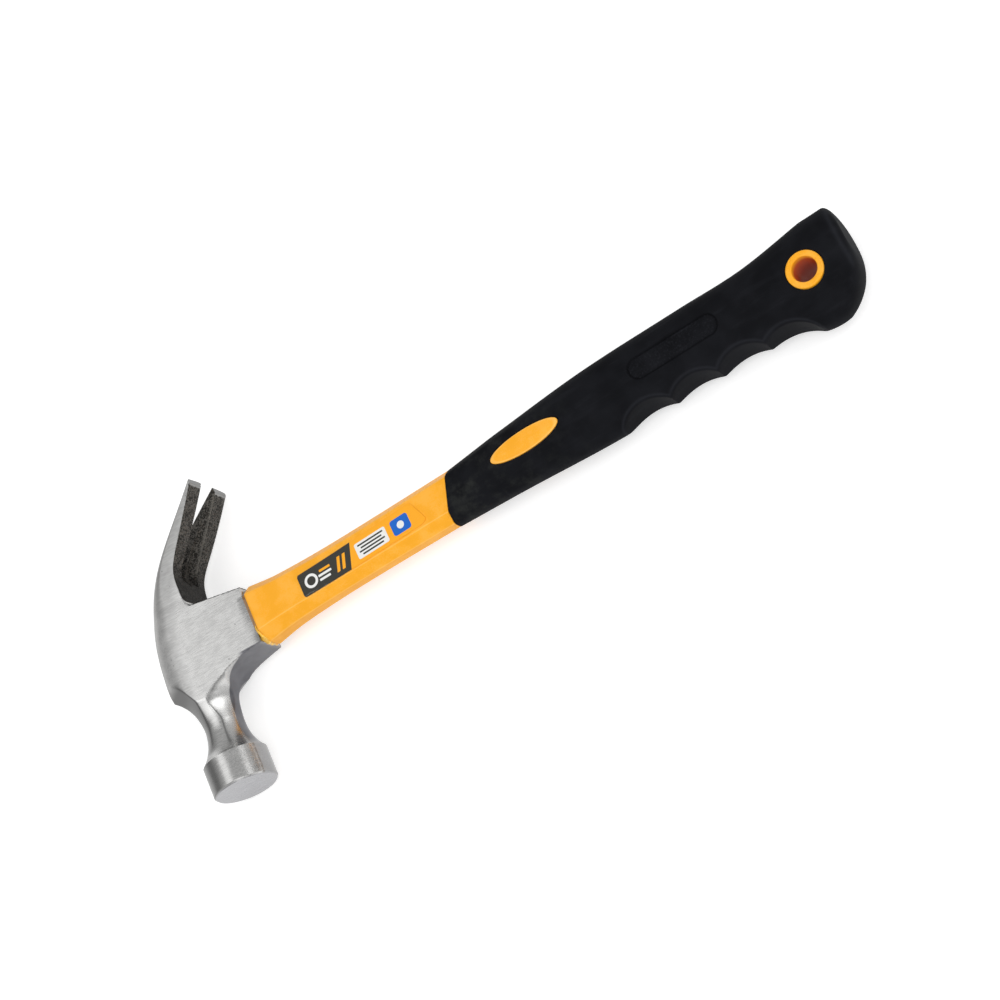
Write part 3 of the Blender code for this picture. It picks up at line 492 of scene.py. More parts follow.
def section_radius(angles, centre, depth, inner_half, outer_half, round_depth, softness):
    """Section of body and claws as a radius round a point at a height over the inner face.

    Angle 0 points to the inner face, pi to the crown. The sides are planes, the crown is half an ellipse, and a
    soft minimum joins the inner face to the sides.
    """
    centre, depth, inner_half, outer_half, round_depth = (
        np.asarray(value, float)[:, None] for value in (centre, depth, inner_half, outer_half, round_depth))
    facing = np.cos(angles)[None, :]
    aside = np.abs(np.sin(angles))[None, :]
    ellipse_centre = depth - round_depth
    taper = (outer_half - inner_half) / ellipse_centre
    side = ray_length(inner_half + taper * centre, aside + taper * facing)
    offset = centre - ellipse_centre
    a = (facing / round_depth) ** 2 + (aside / outer_half) ** 2
    b = -2 * offset * facing / round_depth ** 2
    c = (offset / round_depth) ** 2 - 1
    crown = (-b + np.sqrt(np.maximum(b * b - 4 * a * c, 0))) / (2 * a)
    outer = np.where(centre - side * facing <= ellipse_centre, side, crown)
    return soft_min(np.stack((ray_length(centre, facing), outer)), softness)


def crown_curve(head, t):
    """Outer line of crown and claws in x and y: straight on from the crown, then bent to the tip."""
    return bezier((head.crown_x, head.crown_start_y), (head.crown_x, head.crown_pull_y),
                  head.claw_bend, head.claw_tip, t)


def claw_tip_inner(head):
    """Inner edge of the tip: square across the way the claw points, then set back."""
    way = (Vector(head.claw_tip) - Vector(head.claw_bend)).normalized()
    square = np.array((way.y, -way.x))
    return np.array(head.claw_tip) + head.tip_thickness * square - head.tip_setback * np.array(way)


def claw_inner_curve(head, t):
    """Inner line of the claws in x and y, from their root to the tip's inner edge."""
    pull = (head.claw_root[0], head.claw_root[1] + head.claw_inner_pull)
    return bezier(head.claw_root, pull, head.claw_inner_bend, claw_tip_inner(head), t)


def cheek_half(head, x):
    """Half the thickness of the cheeks: a straight taper from the bell's axis to the mouth."""
    taper = (head.cheek_half - head.cheek_half_mouth) / (head.mouth_x - head.bell_axis_x)
    return head.cheek_half_mouth + taper * (head.mouth_x - x)


def neck_rings(head, angles):
    """Rings at constant y, from the striking face up to the body: neck and body by a soft minimum."""
    rim_y, top_y, end_y = bell_rim(head), neck_top(head), -0.0070
    y = np.concatenate((
        np.linspace(head.face_y, head.face_y + head.face_chamfer, 4)[:-1],
        np.linspace(head.face_y + head.face_chamfer, rim_y - head.rim_chamfer, 12)[:-1],
        np.linspace(rim_y - head.rim_chamfer, rim_y, 4)[:-1],
        np.linspace(rim_y, head.waist_y, 34)[:-1],
        head.waist_y + (top_y - head.waist_y) * (1 - (1 - np.linspace(0, 1, 64)) ** 1.8),
        np.linspace(top_y, end_y, 14)[1:],
    ))
    centre_x = neck_axis(head, y)
    crown = crown_curve(head, np.linspace(0, 0.3, 60))
    crown_x = np.interp(y, crown[:, 1], crown[:, 0])
    ones = np.ones_like(y)
    body = section_radius(
        angles, head.mouth_x - centre_x, head.mouth_x - crown_x, head.cheek_half_mouth * ones,
        head.cheek_half * ones, head.crown_round * ones, head.edge_round)
    neck = neck_radius(head, y, angles)
    in_body = (y > head.waist_y + 0.2 * (head.crown_start_y - head.waist_y))[:, None]
    radius = np.where(in_body, soft_min(np.stack((neck, body)), head.edge_round), neck)
    x = centre_x[:, None] + radius * np.cos(angles)
    return np.stack((x, np.broadcast_to(y[:, None], x.shape), radius * np.sin(angles)), axis=-1)


def claw_rings(head, angles):
    """Rings round the eye's wall and along the claws, each in the plane of its own inner-outer line.

    Each ring has a place t on the crown's curve. Up to the claws' root its inner end runs through key points
    along the mouth, down the eye's wall, through the corner and to the root. Then it follows the inner curve.
    """
    start_y = -0.0064
    key = np.array((0.05, 0.10, 0.15, 0.20, 0.23, 0.27, 0.30, ROOT_T))
    key_y = crown_curve(head, key)[:, 1]
    root, corner = np.array(head.claw_root), np.array(head.root_corner)
    wall = np.array((head.mouth_x, head.eye_wall_y))
    to_root = np.array(((corner[0] + 2 * root[0]) / 3, (2 * corner[1] + root[1]) / 3))
    key_inner = np.stack([(head.mouth_x, y) for y in key_y[:3]]
                         + [wall, (wall + corner) / 2, corner, to_root, root])
    early = np.linspace(0, 0.2, 80)
    start = np.interp(start_y, crown_curve(head, early)[:, 1], early)
    t = np.concatenate((np.linspace(start, 0.195, 16), np.linspace(0.1975, 0.2025, 5),
                        np.linspace(0.205, 0.265, 34), np.linspace(0.267, ROOT_T, 26)[:-1],
                        np.linspace(ROOT_T, 1.0, 96)))
    outer = crown_curve(head, t)
    along = np.clip((t - key[-1]) / (1 - key[-1]), 0, 1)
    key[0], key_inner[0, 1] = start, start_y
    fan = np.column_stack([np.interp(t, key, key_inner[:, k]) for k in (0, 1)])
    inner = np.where((t > key[-1])[:, None], claw_inner_curve(head, along), fan)
    root_half = cheek_half(head, root[0])
    inner_half = np.where(t > key[-1], root_half + (head.tip_inner_half - root_half) * along,
                          cheek_half(head, inner[:, 0]))
    outer_half = head.cheek_half + (head.tip_half_width - head.cheek_half) * along
    across = inner - outer
    depth = np.hypot(across[:, 0], across[:, 1])
    across = across / depth[:, None]
    round_share = head.claw_round_root + (head.claw_round_tip - head.claw_round_root) * along
    neck_share = (head.mouth_x - head.neck_axis_x) / (head.mouth_x - head.crown_x)
    height = depth * np.interp(t, (0.15, ROOT_T), (neck_share, 0.5))
    softness = head.edge_round * np.interp(t, (ROOT_T, 1.0), (1.0, 0.4))[:, None]
    radius = section_radius(angles, height, depth, inner_half, outer_half,
                            np.minimum(head.crown_round, round_share * depth), softness)
    centre = inner - across * height[:, None]
    flat = centre[:, None, :] + (radius * np.cos(angles))[:, :, None] * across[:, None, :]
    return np.concatenate((flat, (radius * np.sin(angles))[:, :, None]), axis=-1)


def claw_masks(head, points):
    """Masks inside the claws: skin by distance from their inner line, painted shade at the root and painted
    highlights on the ridges by place along it.
    """
    share_along = np.linspace(0, 1, 150)
    inner = np.concatenate((
        np.linspace((head.mouth_x, head.eye_wall_y), head.root_corner, 40),
        np.linspace(head.root_corner, head.claw_root, 12)[1:],
        claw_inner_curve(head, share_along)[1:],
    ))
    near = points[:, 1] > head.eye_wall_y - 0.0005
    away, nearest = distance_to(points[near], inner)
    along = np.maximum(nearest - (len(inner) - len(share_along)), 0) / (len(share_along) - 1)
    channel_half = head.channel_half_root + (head.channel_half_tip - head.channel_half_root) * along
    on_ridge = soft_band(np.abs(points[near, 2]), channel_half, 0.00035)
    masks = {
        "scale_skin": soft_step(0.00055, 0.00015, away),
        "root_shade": soft_step(0.58, 0.12, along),
        "ridge": on_ridge * soft_step(0.0006, 0.0002, away) * soft_step(0.30, 0.45, along),
    }
    whole = {label: np.zeros(len(points)) for label in masks}
    for label, values in masks.items():
        whole[label][near] = values
    return whole


def head_masks(head, points, normals):
    """Masks of the head's finishes, painted shade and painted highlights: soft steps and bands of angles in
    degrees, ways of facing and distances.

    around is the angle round the neck's axis from the handle side, and turned the same angle of the normal.
    """
    x, y, z = points.T
    facing_x, facing_y, facing_z = normals.T
    rim_y, top_y = bell_rim(head), neck_top(head)
    around = np.degrees(np.abs(np.arctan2(z, x - neck_axis(head, y))))
    turned = np.degrees(np.arctan2(np.abs(facing_z), facing_x))
    bend = crown_curve(head, np.linspace(0, 1, 120))
    crown = np.concatenate((np.linspace((head.crown_x, head.waist_y), bend[0], 40), bend[1:]))
    from_crown, _ = distance_to(points, crown)
    from_tip, _ = distance_to(points, np.linspace(head.claw_tip, claw_tip_inner(head), 12))
    under_cheek = cheek_half(head, x) - np.abs(z)

    below_body = soft_step(top_y + 0.0004, top_y - 0.0002, y)
    on_face = soft_step(head.face_y + 0.0004, head.face_y + 0.0001, y)
    low_half = soft_step(-0.030, -0.038, y)
    in_body = soft_step(-0.024, -0.016, y)
    in_neck = soft_step(-0.008, -0.014, y) * soft_step(rim_y, rim_y + 0.004, y)

    # Painted shade: the rounded crown and its edge, the neck's and the bell's faces turned to the handle, the
    # neck's crease, the cheek's lower margin and the claws' tip are darkened as if they lay in shade.
    crown_depth = np.interp(y, (0.0, 0.03, 0.06), (0.0165, 0.0150, 0.0045))
    crown_share = np.interp(y, (0.0, 0.016, 0.030), (0.25, 0.15, 0.60))
    crown_side = np.clip(1 - from_crown / crown_depth, 0, 1) * crown_share
    crown_edge = soft_step(0.0050, 0.0010, from_crown) * np.interp(y, (0.0, 0.03), (0.70, 0.35))
    tip = soft_step(0.0009, 0.0003, from_tip)
    neck_back = soft_step(0.05, -0.35, facing_x)
    bell_back = soft_step(-0.05, -0.40, facing_x) * soft_step(rim_y + 0.004, rim_y, y) * (1 - on_face)
    crease = soft_band(turned, 62.0, 5.0) * in_neck
    # Painted highlights: the neck's corner facet and its faces turned towards the bell are brightened as if
    # catching the lamps.
    facet = soft_band(turned, 46.0, 8.0) * soft_step(rim_y + 0.002, rim_y + 0.012, y) * in_neck
    brow = soft_step(-0.15, -0.30, facing_y) * soft_step(0.30, 0.15, np.abs(facing_x)) * in_neck
    margin = (soft_step(0.0030, 0.0004, under_cheek)
              * soft_step(76.0, 66.0, turned) * soft_step(10.0, 20.0, turned)
              * soft_step(-0.006, -0.009, y) * soft_step(rim_y + 0.004, rim_y + 0.010, y))
    grinding_end = 23.5
    stain_width = np.where(around > grinding_end, 3.2, 1.2)
    # Painted shade: on the far side only, the neck's flare takes the dark handle-side steel as well.
    far_flare_shade = soft_step(75.0, 65.0, around) * (z < 0) * soft_step(-0.031, -0.027, y)
    handle_side = np.maximum(soft_step(24.0, 21.5, around), far_flare_shade) * below_body
    claws = claw_masks(head, points)
    return claws | {
        "scale_skin": claws["scale_skin"] * (1 - tip),
        "unground": handle_side * (1 - on_face) * np.interp(y, (rim_y, rim_y + 0.003), (0.52, 1.0)),
        "stain": soft_band(around, grinding_end, stain_width) * below_body * low_half * (1 - on_face),
        "face": on_face,
        "dulled": np.max((in_body * crown_side, in_body * crown_edge, in_neck * neck_back, 0.92 * bell_back,
                          0.8 * crease, 0.7 * margin, 0.8 * tip), axis=0),
        "polished": np.maximum(0.8 * facet, brow) * (1 - np.maximum(crease, margin)),
        "crown": in_body * soft_step(0.0165, 0.0095, from_crown),
    }


def channel_cutter(head):
    """Trapezium carried along the claws' inner face, which sinks past the root and runs out past the tip."""
    lift = 0.0030
    lead_in = 0.07
    start_lift = 0.0003
    along = np.linspace(head.channel_start - lead_in, 1, 90)
    inner = claw_inner_curve(head, along)
    across = crown_curve(head, ROOT_T + (1 - ROOT_T) * along) - inner
    thickness = np.hypot(*across.T)
    across = across / thickness[:, None]
    sunk = np.clip((along - head.channel_start) / head.channel_run_in, 0, 1)
    full = np.minimum(head.channel_depth, head.channel_depth_share * thickness)
    depth = full * np.sin(sunk * np.pi / 2) - start_lift * (1 - sunk)
    half = head.channel_half_root + (head.channel_half_tip - head.channel_half_root) * along
    top_half = half + head.channel_wall_slope * lift
    floor_half = half - head.channel_wall_slope * depth
    down = np.stack((np.full_like(depth, -lift), depth, depth, np.full_like(depth, -lift)), axis=1)
    wide = np.stack((-top_half, -floor_half, floor_half, top_half), axis=1)
    flat = inner[:, None, :] + down[:, :, None] * across[:, None, :]
    rings = np.concatenate((flat, wide[:, :, None]), axis=-1)
    onwards = (rings[-1] - rings[-2]) * (lift / np.hypot(*(inner[-1] - inner[-2])))
    return tube_object("claw_channel_cutter", np.concatenate((rings, rings[-1:] + onwards)))


def nail_slot_cutter(head):
    """Wedge through the claws, square to them, that narrows from the tip to a round end."""
    outer = crown_curve(head, np.linspace(0, 1, 101))
    tip = (np.array(head.claw_tip) + claw_tip_inner(head)) / 2
    away = np.hypot(*(outer - tip).T)
    way = outer[np.nonzero(away > head.slot_length)[0][-1]] - tip
    way = way / np.hypot(*way)
    square = np.array((-way[1], way[0]))
    reach = 0.02
    slope = (head.slot_half_tip - head.slot_end_radius) / head.slot_length
    turn = np.linspace(0, np.pi, 17)
    outline = np.concatenate((
        ((-reach, head.slot_half_tip + slope * reach),),
        np.column_stack((head.slot_length + head.slot_end_radius * (np.sin(turn) - 1),
                         head.slot_end_radius * np.cos(turn))),
        ((-reach, -head.slot_half_tip - slope * reach),),
    ))

    def through(points, side):
        flat = tip + points[:, :1] * way + side * square
        return np.column_stack((flat, points[:, 1]))

    return prism_object("nail_slot_cutter", outline, -reach, reach, through)


def rounded_box_radius(angles, half_y, half_z, corner):
    """Rounded rectangle as a radius: rays to both planes, and to the corner's circle between them."""
    facing = np.abs(np.cos(angles))
    aside = np.abs(np.sin(angles))
    straight = np.minimum(ray_length(half_y, facing), ray_length(half_z, aside))
    along = (half_y - corner) * facing + (half_z - corner) * aside
    off = (half_y - corner) ** 2 + (half_z - corner) ** 2 - corner ** 2
    bent = along + np.sqrt(np.maximum(along ** 2 - off, 0))
    in_corner = (straight * facing > half_y - corner) & (straight * aside > half_z - corner)
    return np.where(in_corner, bent, straight)


def eye_rings(head, x, angles, inset):
    """Rings of the eye at places along x: a rounded rectangle that widens towards the crown."""
    rings = []
    for at in x:
        grow = head.eye_taper * at / head.crown_x - inset
        half_y, half_z = np.array(head.eye_half) + grow
        radius = rounded_box_radius(angles, half_y, half_z, head.eye_corner + grow)
        rings.append(np.column_stack((
            np.full(len(angles), at), radius * np.cos(angles), radius * np.sin(angles))))
    return np.stack(rings)


def make_head(head, steel, scale):
    """One tube of rings from the striking face to the claws' tip, less the eye, nail slot and channel."""
    angles = ring_angles(head.steps_round)
    rings = np.concatenate((neck_rings(head, angles), claw_rings(head, angles)))
    obj = tube_object("hammer_head_steel", rings)
    obj.data.materials.append(steel)
    reach = 0.01
    through = (head.crown_x - reach, head.mouth_x + reach)
    eye = tube_object("eye_cutter", eye_rings(head, through, circle_angles(96), 0.0))
    eye.data.materials.append(steel)
    claw_cutters = (nail_slot_cutter(head), channel_cutter(head))
    for cutter in claw_cutters:
        cutter.data.materials.append(scale)
    carve(obj, (eye, *claw_cutters), 32.0)
    points = np.empty(len(obj.data.vertices) * 3, np.float32)
    obj.data.vertices.foreach_get("co", points)
    normals = np.empty_like(points)
    obj.data.vertex_normals.foreach_get("vector", normals)
    points = points.reshape(-1, 3).astype(float) - datum()
    for label, values in head_masks(head, points, normals.reshape(-1, 3).astype(float)).items():
        obj.data.attributes.new(label, "FLOAT", "POINT").data.foreach_set("value", values)
    finish_piece(obj, (steel, scale), "head_steel", "hammer_head")


# Handle

def octagon_radius(angles, half_y, half_z, handle, softness):
    """Octagon as a radius: soft minimum of edge flat, chamfer and broad flat, alike in all four quarters."""
    half_y = np.asarray(half_y, float)[:, None]
    half_z = np.asarray(half_z, float)[:, None]
    facing = np.abs(np.cos(np.atleast_2d(angles)))
    aside = np.abs(np.sin(np.atleast_2d(angles)))
    flat = handle.flat_share * half_y
    edge = handle.edge_share * half_z
    slope = np.hypot(half_z - edge, half_y - flat)
    chamfer_y = (half_z - edge) / slope
    chamfer_z = (half_y - flat) / slope
    chamfer = half_y * chamfer_y + edge * chamfer_z
    return soft_min(np.stack((
        ray_length(half_y, facing),
        ray_length(chamfer, chamfer_y * facing + chamfer_z * aside),
        ray_length(half_z, aside),
    )), softness)


def octagon_edges(angles, half_y, half_z, handle):
    """Mask of the painted highlight on the octagon's edges: fall of the softened outline under a sharp one,
    against its largest.
    """
    softness = handle.edge_round
    sharp = octagon_radius(angles, half_y, half_z, handle, softness / 100)
    fall = sharp - octagon_radius(angles, half_y, half_z, handle, softness)
    return soft_step(0.25, 0.9, fall / (softness * math.log(2)))


def jacket_start(head, handle):
    """Front edge of the jacket in x."""
    return head.mouth_x + handle.gap_to_head


def jacket_half(head, handle, grip, x):
    """Half width and half thickness of the jacket: a smooth track through mouth, neck, waist and rear."""
    return smooth_track((
        (jacket_start(head, handle), *handle.mouth),
        (handle.neck_x, *handle.neck),
        (handle.waist_x, *handle.waist),
        (grip.front_x, *handle.rear),
    ), x)


def rings_along_x(x, radius, angles, lean=None):
    """Rings from radii round the handle's axis, leaning by x per y where given."""
    y = radius * np.cos(angles)
    across = np.broadcast_to(np.asarray(x, float)[:, None], y.shape)
    if lean is not None:
        across = across + np.asarray(lean, float)[:, None] * y
    return np.stack((across, y, radius * np.sin(angles)), axis=-1)


def make_jacket(head, handle, grip, material):
    """Octagon carried along the handle, with a round shoulder at the head and a leaning step to the tang."""
    angles = circle_angles(256)
    lean_length = 0.03
    start = jacket_start(head, handle)
    end = grip.front_x - grip.clearance
    turn = np.linspace(0, np.pi / 2, 9)
    x = np.concatenate((start + handle.shoulder * (1 - np.cos(turn)),
                        np.linspace(start + handle.shoulder, end, 150)[1:]))
    drop = np.concatenate((handle.shoulder * (1 - np.sin(turn)), np.zeros(149)))
    half_y, half_z = jacket_half(head, handle, grip, x)
    radius = octagon_radius(angles, half_y - drop, half_z - drop, handle, handle.edge_round)
    lean = grip.front_slant * soft_step(end - lean_length, end, x)
    skin = rings_along_x(x, radius, angles, lean)
    tang = octagon_radius(angles, handle.tang[:1], handle.tang[1:], handle, handle.edge_round)
    step = rings_along_x((end,), tang, angles, (grip.front_slant,))
    tail = rings_along_x((handle.tang_end_x,), tang, angles)
    # painted highlight along the octagon's edges
    worn = octagon_edges(angles, half_y - drop, half_z - drop, handle)
    worn = np.concatenate((worn, np.zeros((2, len(angles)))))
    obj = tube_object("handle_jacket_skin", np.concatenate((skin, step, tail)), 40.0, {"worn_edge": worn})
    finish_piece(obj, (material,), "jacket_plastic", "handle_jacket")


def collar_radius(handle, angles):
    """Outline of the resin collar: the jacket's octagon at the mouth, drawn in."""
    inset = 0.0008
    half_y, half_z = (np.array((half - inset,)) for half in handle.mouth)
    return octagon_radius(angles, half_y, half_z, handle, handle.edge_round)


def make_resin(head, handle, grip, material):
    """Sleeve in the eye, stepped out to the collar between the head and the jacket."""
    angles = circle_angles(128)
    below_crown, off_mouth, lap = 0.0030, 0.00005, 0.0001
    start = head.mouth_x + off_mouth
    sleeve = eye_rings(head, np.linspace(head.crown_x + below_crown, start, 12), angles, grip.clearance)
    radius = np.repeat(collar_radius(handle, angles), 2, axis=0)
    collar = rings_along_x((start, jacket_start(head, handle) + lap), radius, angles)
    obj = tube_object("eye_resin", np.concatenate((sleeve, collar)), 35.0)
    finish_piece(obj, (material,), "epoxy", "eye_epoxy")


def make_bead(head, handle, material):
    """Bead of resin along the lower edge of the mouth: an uneven ellipse carried round the collar's outline.

    It swells from nothing at both ends, with two waves along it and a thicker place at the corner.
    """
    first_angle, swept = 121, 93
    half_along, half_out = 0.00095, 0.00105
    off_mouth, off_collar = 0.0007, 0.0001
    t = np.linspace(0, 1, 140)
    turn = circle_angles(36)
    angle = np.radians(first_angle + swept * t)
    waves = 1 + 0.14 * np.sin(23 * t) + 0.09 * np.sin(41 * t + 1)
    size = np.sqrt(np.maximum(np.sin(np.pi * t), 1e-4)) * waves
    size = (size * (0.75 + 0.55 * soft_band(t, 0.38, 0.2)))[:, None]
    from_axis = collar_radius(handle, angle)[0] + off_collar
    outward = from_axis[:, None] + half_out * size * np.sin(turn)
    rings = np.stack((
        head.mouth_x + off_mouth + half_along * size * np.cos(turn),
        outward * np.cos(angle)[:, None],
        outward * np.sin(angle)[:, None],
    ), axis=-1)
    obj = tube_object("resin_bead", rings, 60.0)
    finish_piece(obj, (material,), "epoxy")


# Grip

def quarter_drop(x, end, radii):
    """Fall of a rounded end: a quarter of an ellipse that ends at the butt."""
    past = np.clip((x - end + radii[0]) / radii[0], 0, 1)
    return radii[1] * (1 - np.sqrt(1 - past ** 2))


def groove_floor(grip, x):
    """Floor of the finger grooves in y: the highest of the circles through neighbouring crests."""
    floor = np.full_like(x, -1.0)
    for i in range(grip.groove_count):
        ends = []
        for k in (i, i + 1):
            at = grip.groove_start_x + grip.groove_pitch * k
            drop = grip.last_drop if k == grip.groove_count else 0.0
            ends.append(Vector((at, grip.crest_y + grip.crest_slope * (at - grip.groove_start_x) - drop)))
        chord = ends[1] - ends[0]
        outward = Vector((chord.y, -chord.x)).normalized()
        rise = math.sqrt(grip.groove_radius ** 2 - (chord.length / 2) ** 2)
        centre = (ends[0] + ends[1]) / 2 + outward * rise
        inside = grip.groove_radius ** 2 - (x - centre.x) ** 2
        floor = np.maximum(floor, np.where(inside > 0, centre.y + np.sqrt(np.maximum(inside, 0)), -1.0))
    return floor


def grip_section(handle, grip, x, angles):
    """Outline of the grip in y and z: the jacket's octagon at the front, a superellipse further back.

    The finger side is drawn in, and the grooves cut it by a soft maximum. Angles are one row for all places, or
    one column with an angle for each place.
    """
    angles = np.atleast_2d(angles)
    front = handle.rear[0] + grip.proud
    stations = np.vstack(((grip.front_x, front, -front, handle.rear[1] + grip.proud), GRIP_SECTIONS))
    claw_side, bell_side, half_z = smooth_track(stations, x)
    claw_side = claw_side - quarter_drop(x, grip.end_x, grip.butt_top_round)
    bell_side = bell_side + quarter_drop(x, grip.end_x, grip.butt_low_round)
    half_z = half_z - quarter_drop(x, grip.end_x, grip.butt_side_round)
    half_y = (claw_side - bell_side) / 2
    middle = (claw_side + bell_side) / 2
    octagon = octagon_radius(angles, half_y, half_z, handle, grip.crease_round)
    power = grip.round_power
    soft = (np.abs(np.cos(angles) / half_y[:, None]) ** power
            + np.abs(np.sin(angles) / half_z[:, None]) ** power) ** (-1 / power)
    softness = np.minimum(1, (x - grip.front_x) / (GRIP_SECTIONS[1, 0] - grip.front_x))[:, None]
    radius = octagon + (soft - octagon) * softness
    butt_fade = np.minimum(1, (grip.end_x - x) / (grip.end_x - GRIP_SECTIONS[3, 0]))[:, None]
    y = radius * np.cos(angles)
    narrowing = 1 + grip.finger_narrowing * softness * butt_fade * np.minimum(y / half_y[:, None], 0)
    y = soft_max(middle[:, None] + y, groove_floor(grip, x)[:, None], grip.groove_round)
    return y, radius * np.sin(angles) * narrowing


def grip_height(handle, grip, x, y):
    """Height of the grip's broad side over points in x and y, found by halving the angle range."""
    low = np.zeros_like(x)
    high = np.full_like(x, np.pi)
    for _ in range(30):
        middle = (low + high) / 2
        short = grip_section(handle, grip, x, middle[:, None])[0][:, 0] > y
        low = np.where(short, middle, low)
        high = np.where(short, high, middle)
    return grip_section(handle, grip, x, low[:, None])[1][:, 0]


def slot_masks(grip, x, y):
    """Floor of the shallow slot, and the band along its edge that takes painted shade: distance to its middle
    line against its radius.
    """
    along = np.clip(x, *grip.slot_x)
    past = np.hypot(x - along, y - grip.slot_y) - grip.slot_radius
    return soft_step(0.0002, -0.0002, past), soft_band(past, -0.0001, 0.0003)


def rim_wear_and_highlight(grip, x, y, z):
    """Edges that hands rub, lightened as wear and as painted highlight: rims of the grooves, by height over
    their floor, and the butt's edge, by x.
    """
    over_floor = y - groove_floor(grip, x[:, 0])[:, None]
    rim = soft_band(over_floor, 0.0009, 0.0005)
    half = np.abs(z).max(axis=1, keepdims=True)
    at_end = soft_band(x - grip.end_x, -0.0022, 0.0009) * soft_step(0.5, 0.8, np.abs(z) / half)
    return np.maximum(rim, at_end)


def make_grip(handle, grip, material):
    """Sections carried along the handle, leaning at the front, less the inlays' windows and the bush's seat.

    A drawn-in copy of the first ring closes the front edge onto the jacket.
    """
    angles = ring_angles(224, -0.25)
    low_start = grip.end_x - grip.butt_low_round[0]
    x = np.concatenate((
        np.linspace(grip.front_x, low_start, 330)[:-1],
        low_start + grip.butt_low_round[0] * np.sin(np.linspace(0, np.pi / 2, 60)),
    ))
    y, z = grip_section(handle, grip, x, angles)
    lean = grip.front_slant * np.maximum(0, 1 - (x - grip.front_x) / grip.slant_fade)
    across = x[:, None] + lean[:, None] * y
    floor, edge = slot_masks(grip, across, y)
    masks = {"slot_floor": floor, "slot_edge": edge, "rubbed": rim_wear_and_highlight(grip, across, y, z)}
    z = z - np.sign(z) * grip.slot_depth * floor
    rings = np.stack((across, y, z), axis=-1)
    rim_share = (1, 0.955, 0.945)
    rim = rings[:1] * rim_share
    rim[..., 0] = rings[:1, :, 0] - lean[0] * (rings[:1, :, 1] - rim[..., 1])
    masks = {label: np.concatenate((values[:1], values)) for label, values in masks.items()}
    obj = tube_object("rubber_grip_skin", np.concatenate((rim, rings)), 35.0, masks)
    turn = circle_angles(120)
    window_half = np.array(grip.inlay_half) + grip.clearance
    seat_radius = grip.bush_radius + grip.clearance
    window = ellipse(grip.inlay_centre, *window_half, turn)
    seat = ellipse(grip.hole_centre, seat_radius, seat_radius, turn)
    bottom = inlay_floor(grip) - grip.clearance
    reach = 0.02
    cutters = (prism_object("window_left", window, bottom, reach, upright),
               prism_object("window_right", window, -reach, -bottom, upright),
               prism_object("bush_seat", seat, -reach, reach, upright))
    carve(obj, cutters, 35.0)
    finish_piece(obj, (material,), "grip_rubber", "rubber_grip")


def grip_half(x):
    """Half thickness of the grip at one place along the handle."""
    return smooth_track(GRIP_SECTIONS, np.array((x,)))[2, 0]


def inlay_floor(grip):
    """Height of the inlays' flat back: their depth under the grip's half thickness."""
    return grip_half(grip.inlay_centre[0]) - grip.inlay_depth


def make_inlays(handle, grip, material):
    """Ovals that follow the grip's surface, with a rounded rim and a flat back.

    part is the share of the oval's half sizes at each ring, and a quarter of an ellipse drops the rim.
    """
    rim_start, rim_drop = 0.92, 0.0004
    rim_part = 1 - rim_start
    turn = circle_angles(96)
    bend = np.linspace(0, np.pi / 2, 9)[1:]
    part = np.concatenate((np.linspace(0.03, rim_start, 16), rim_start + rim_part * np.sin(bend)))
    x = grip.inlay_centre[0] + grip.inlay_half[0] * part[:, None] * np.cos(turn)
    y = grip.inlay_centre[1] + grip.inlay_half[1] * part[:, None] * np.sin(turn)
    rim = np.clip((part - rim_start) / rim_part, 0, 1)
    drop = rim_drop * (1 - np.sqrt(1 - rim ** 2))
    top = grip_height(handle, grip, x.ravel(), y.ravel()).reshape(x.shape) + grip.inlay_proud - drop[:, None]
    rings = np.stack((x, y, top), axis=-1)
    back = rings[-1:] * (1, 1, 0) + (0, 0, inlay_floor(grip))
    rings = np.concatenate((rings, back))
    # painted highlight round the inlay's rim
    worn = np.append(soft_band(part, 0.95, 0.05), 0.0)[:, None] * np.ones_like(turn)
    for side, name in ((1, "left"), (-1, "right")):
        obj = tube_object(f"grip_inlay_{name}_plate", rings * (1, 1, side), 40.0, {"worn_edge": worn})
        finish_piece(obj, (material,), "inlay_plastic", "grip_inlay_" + name)


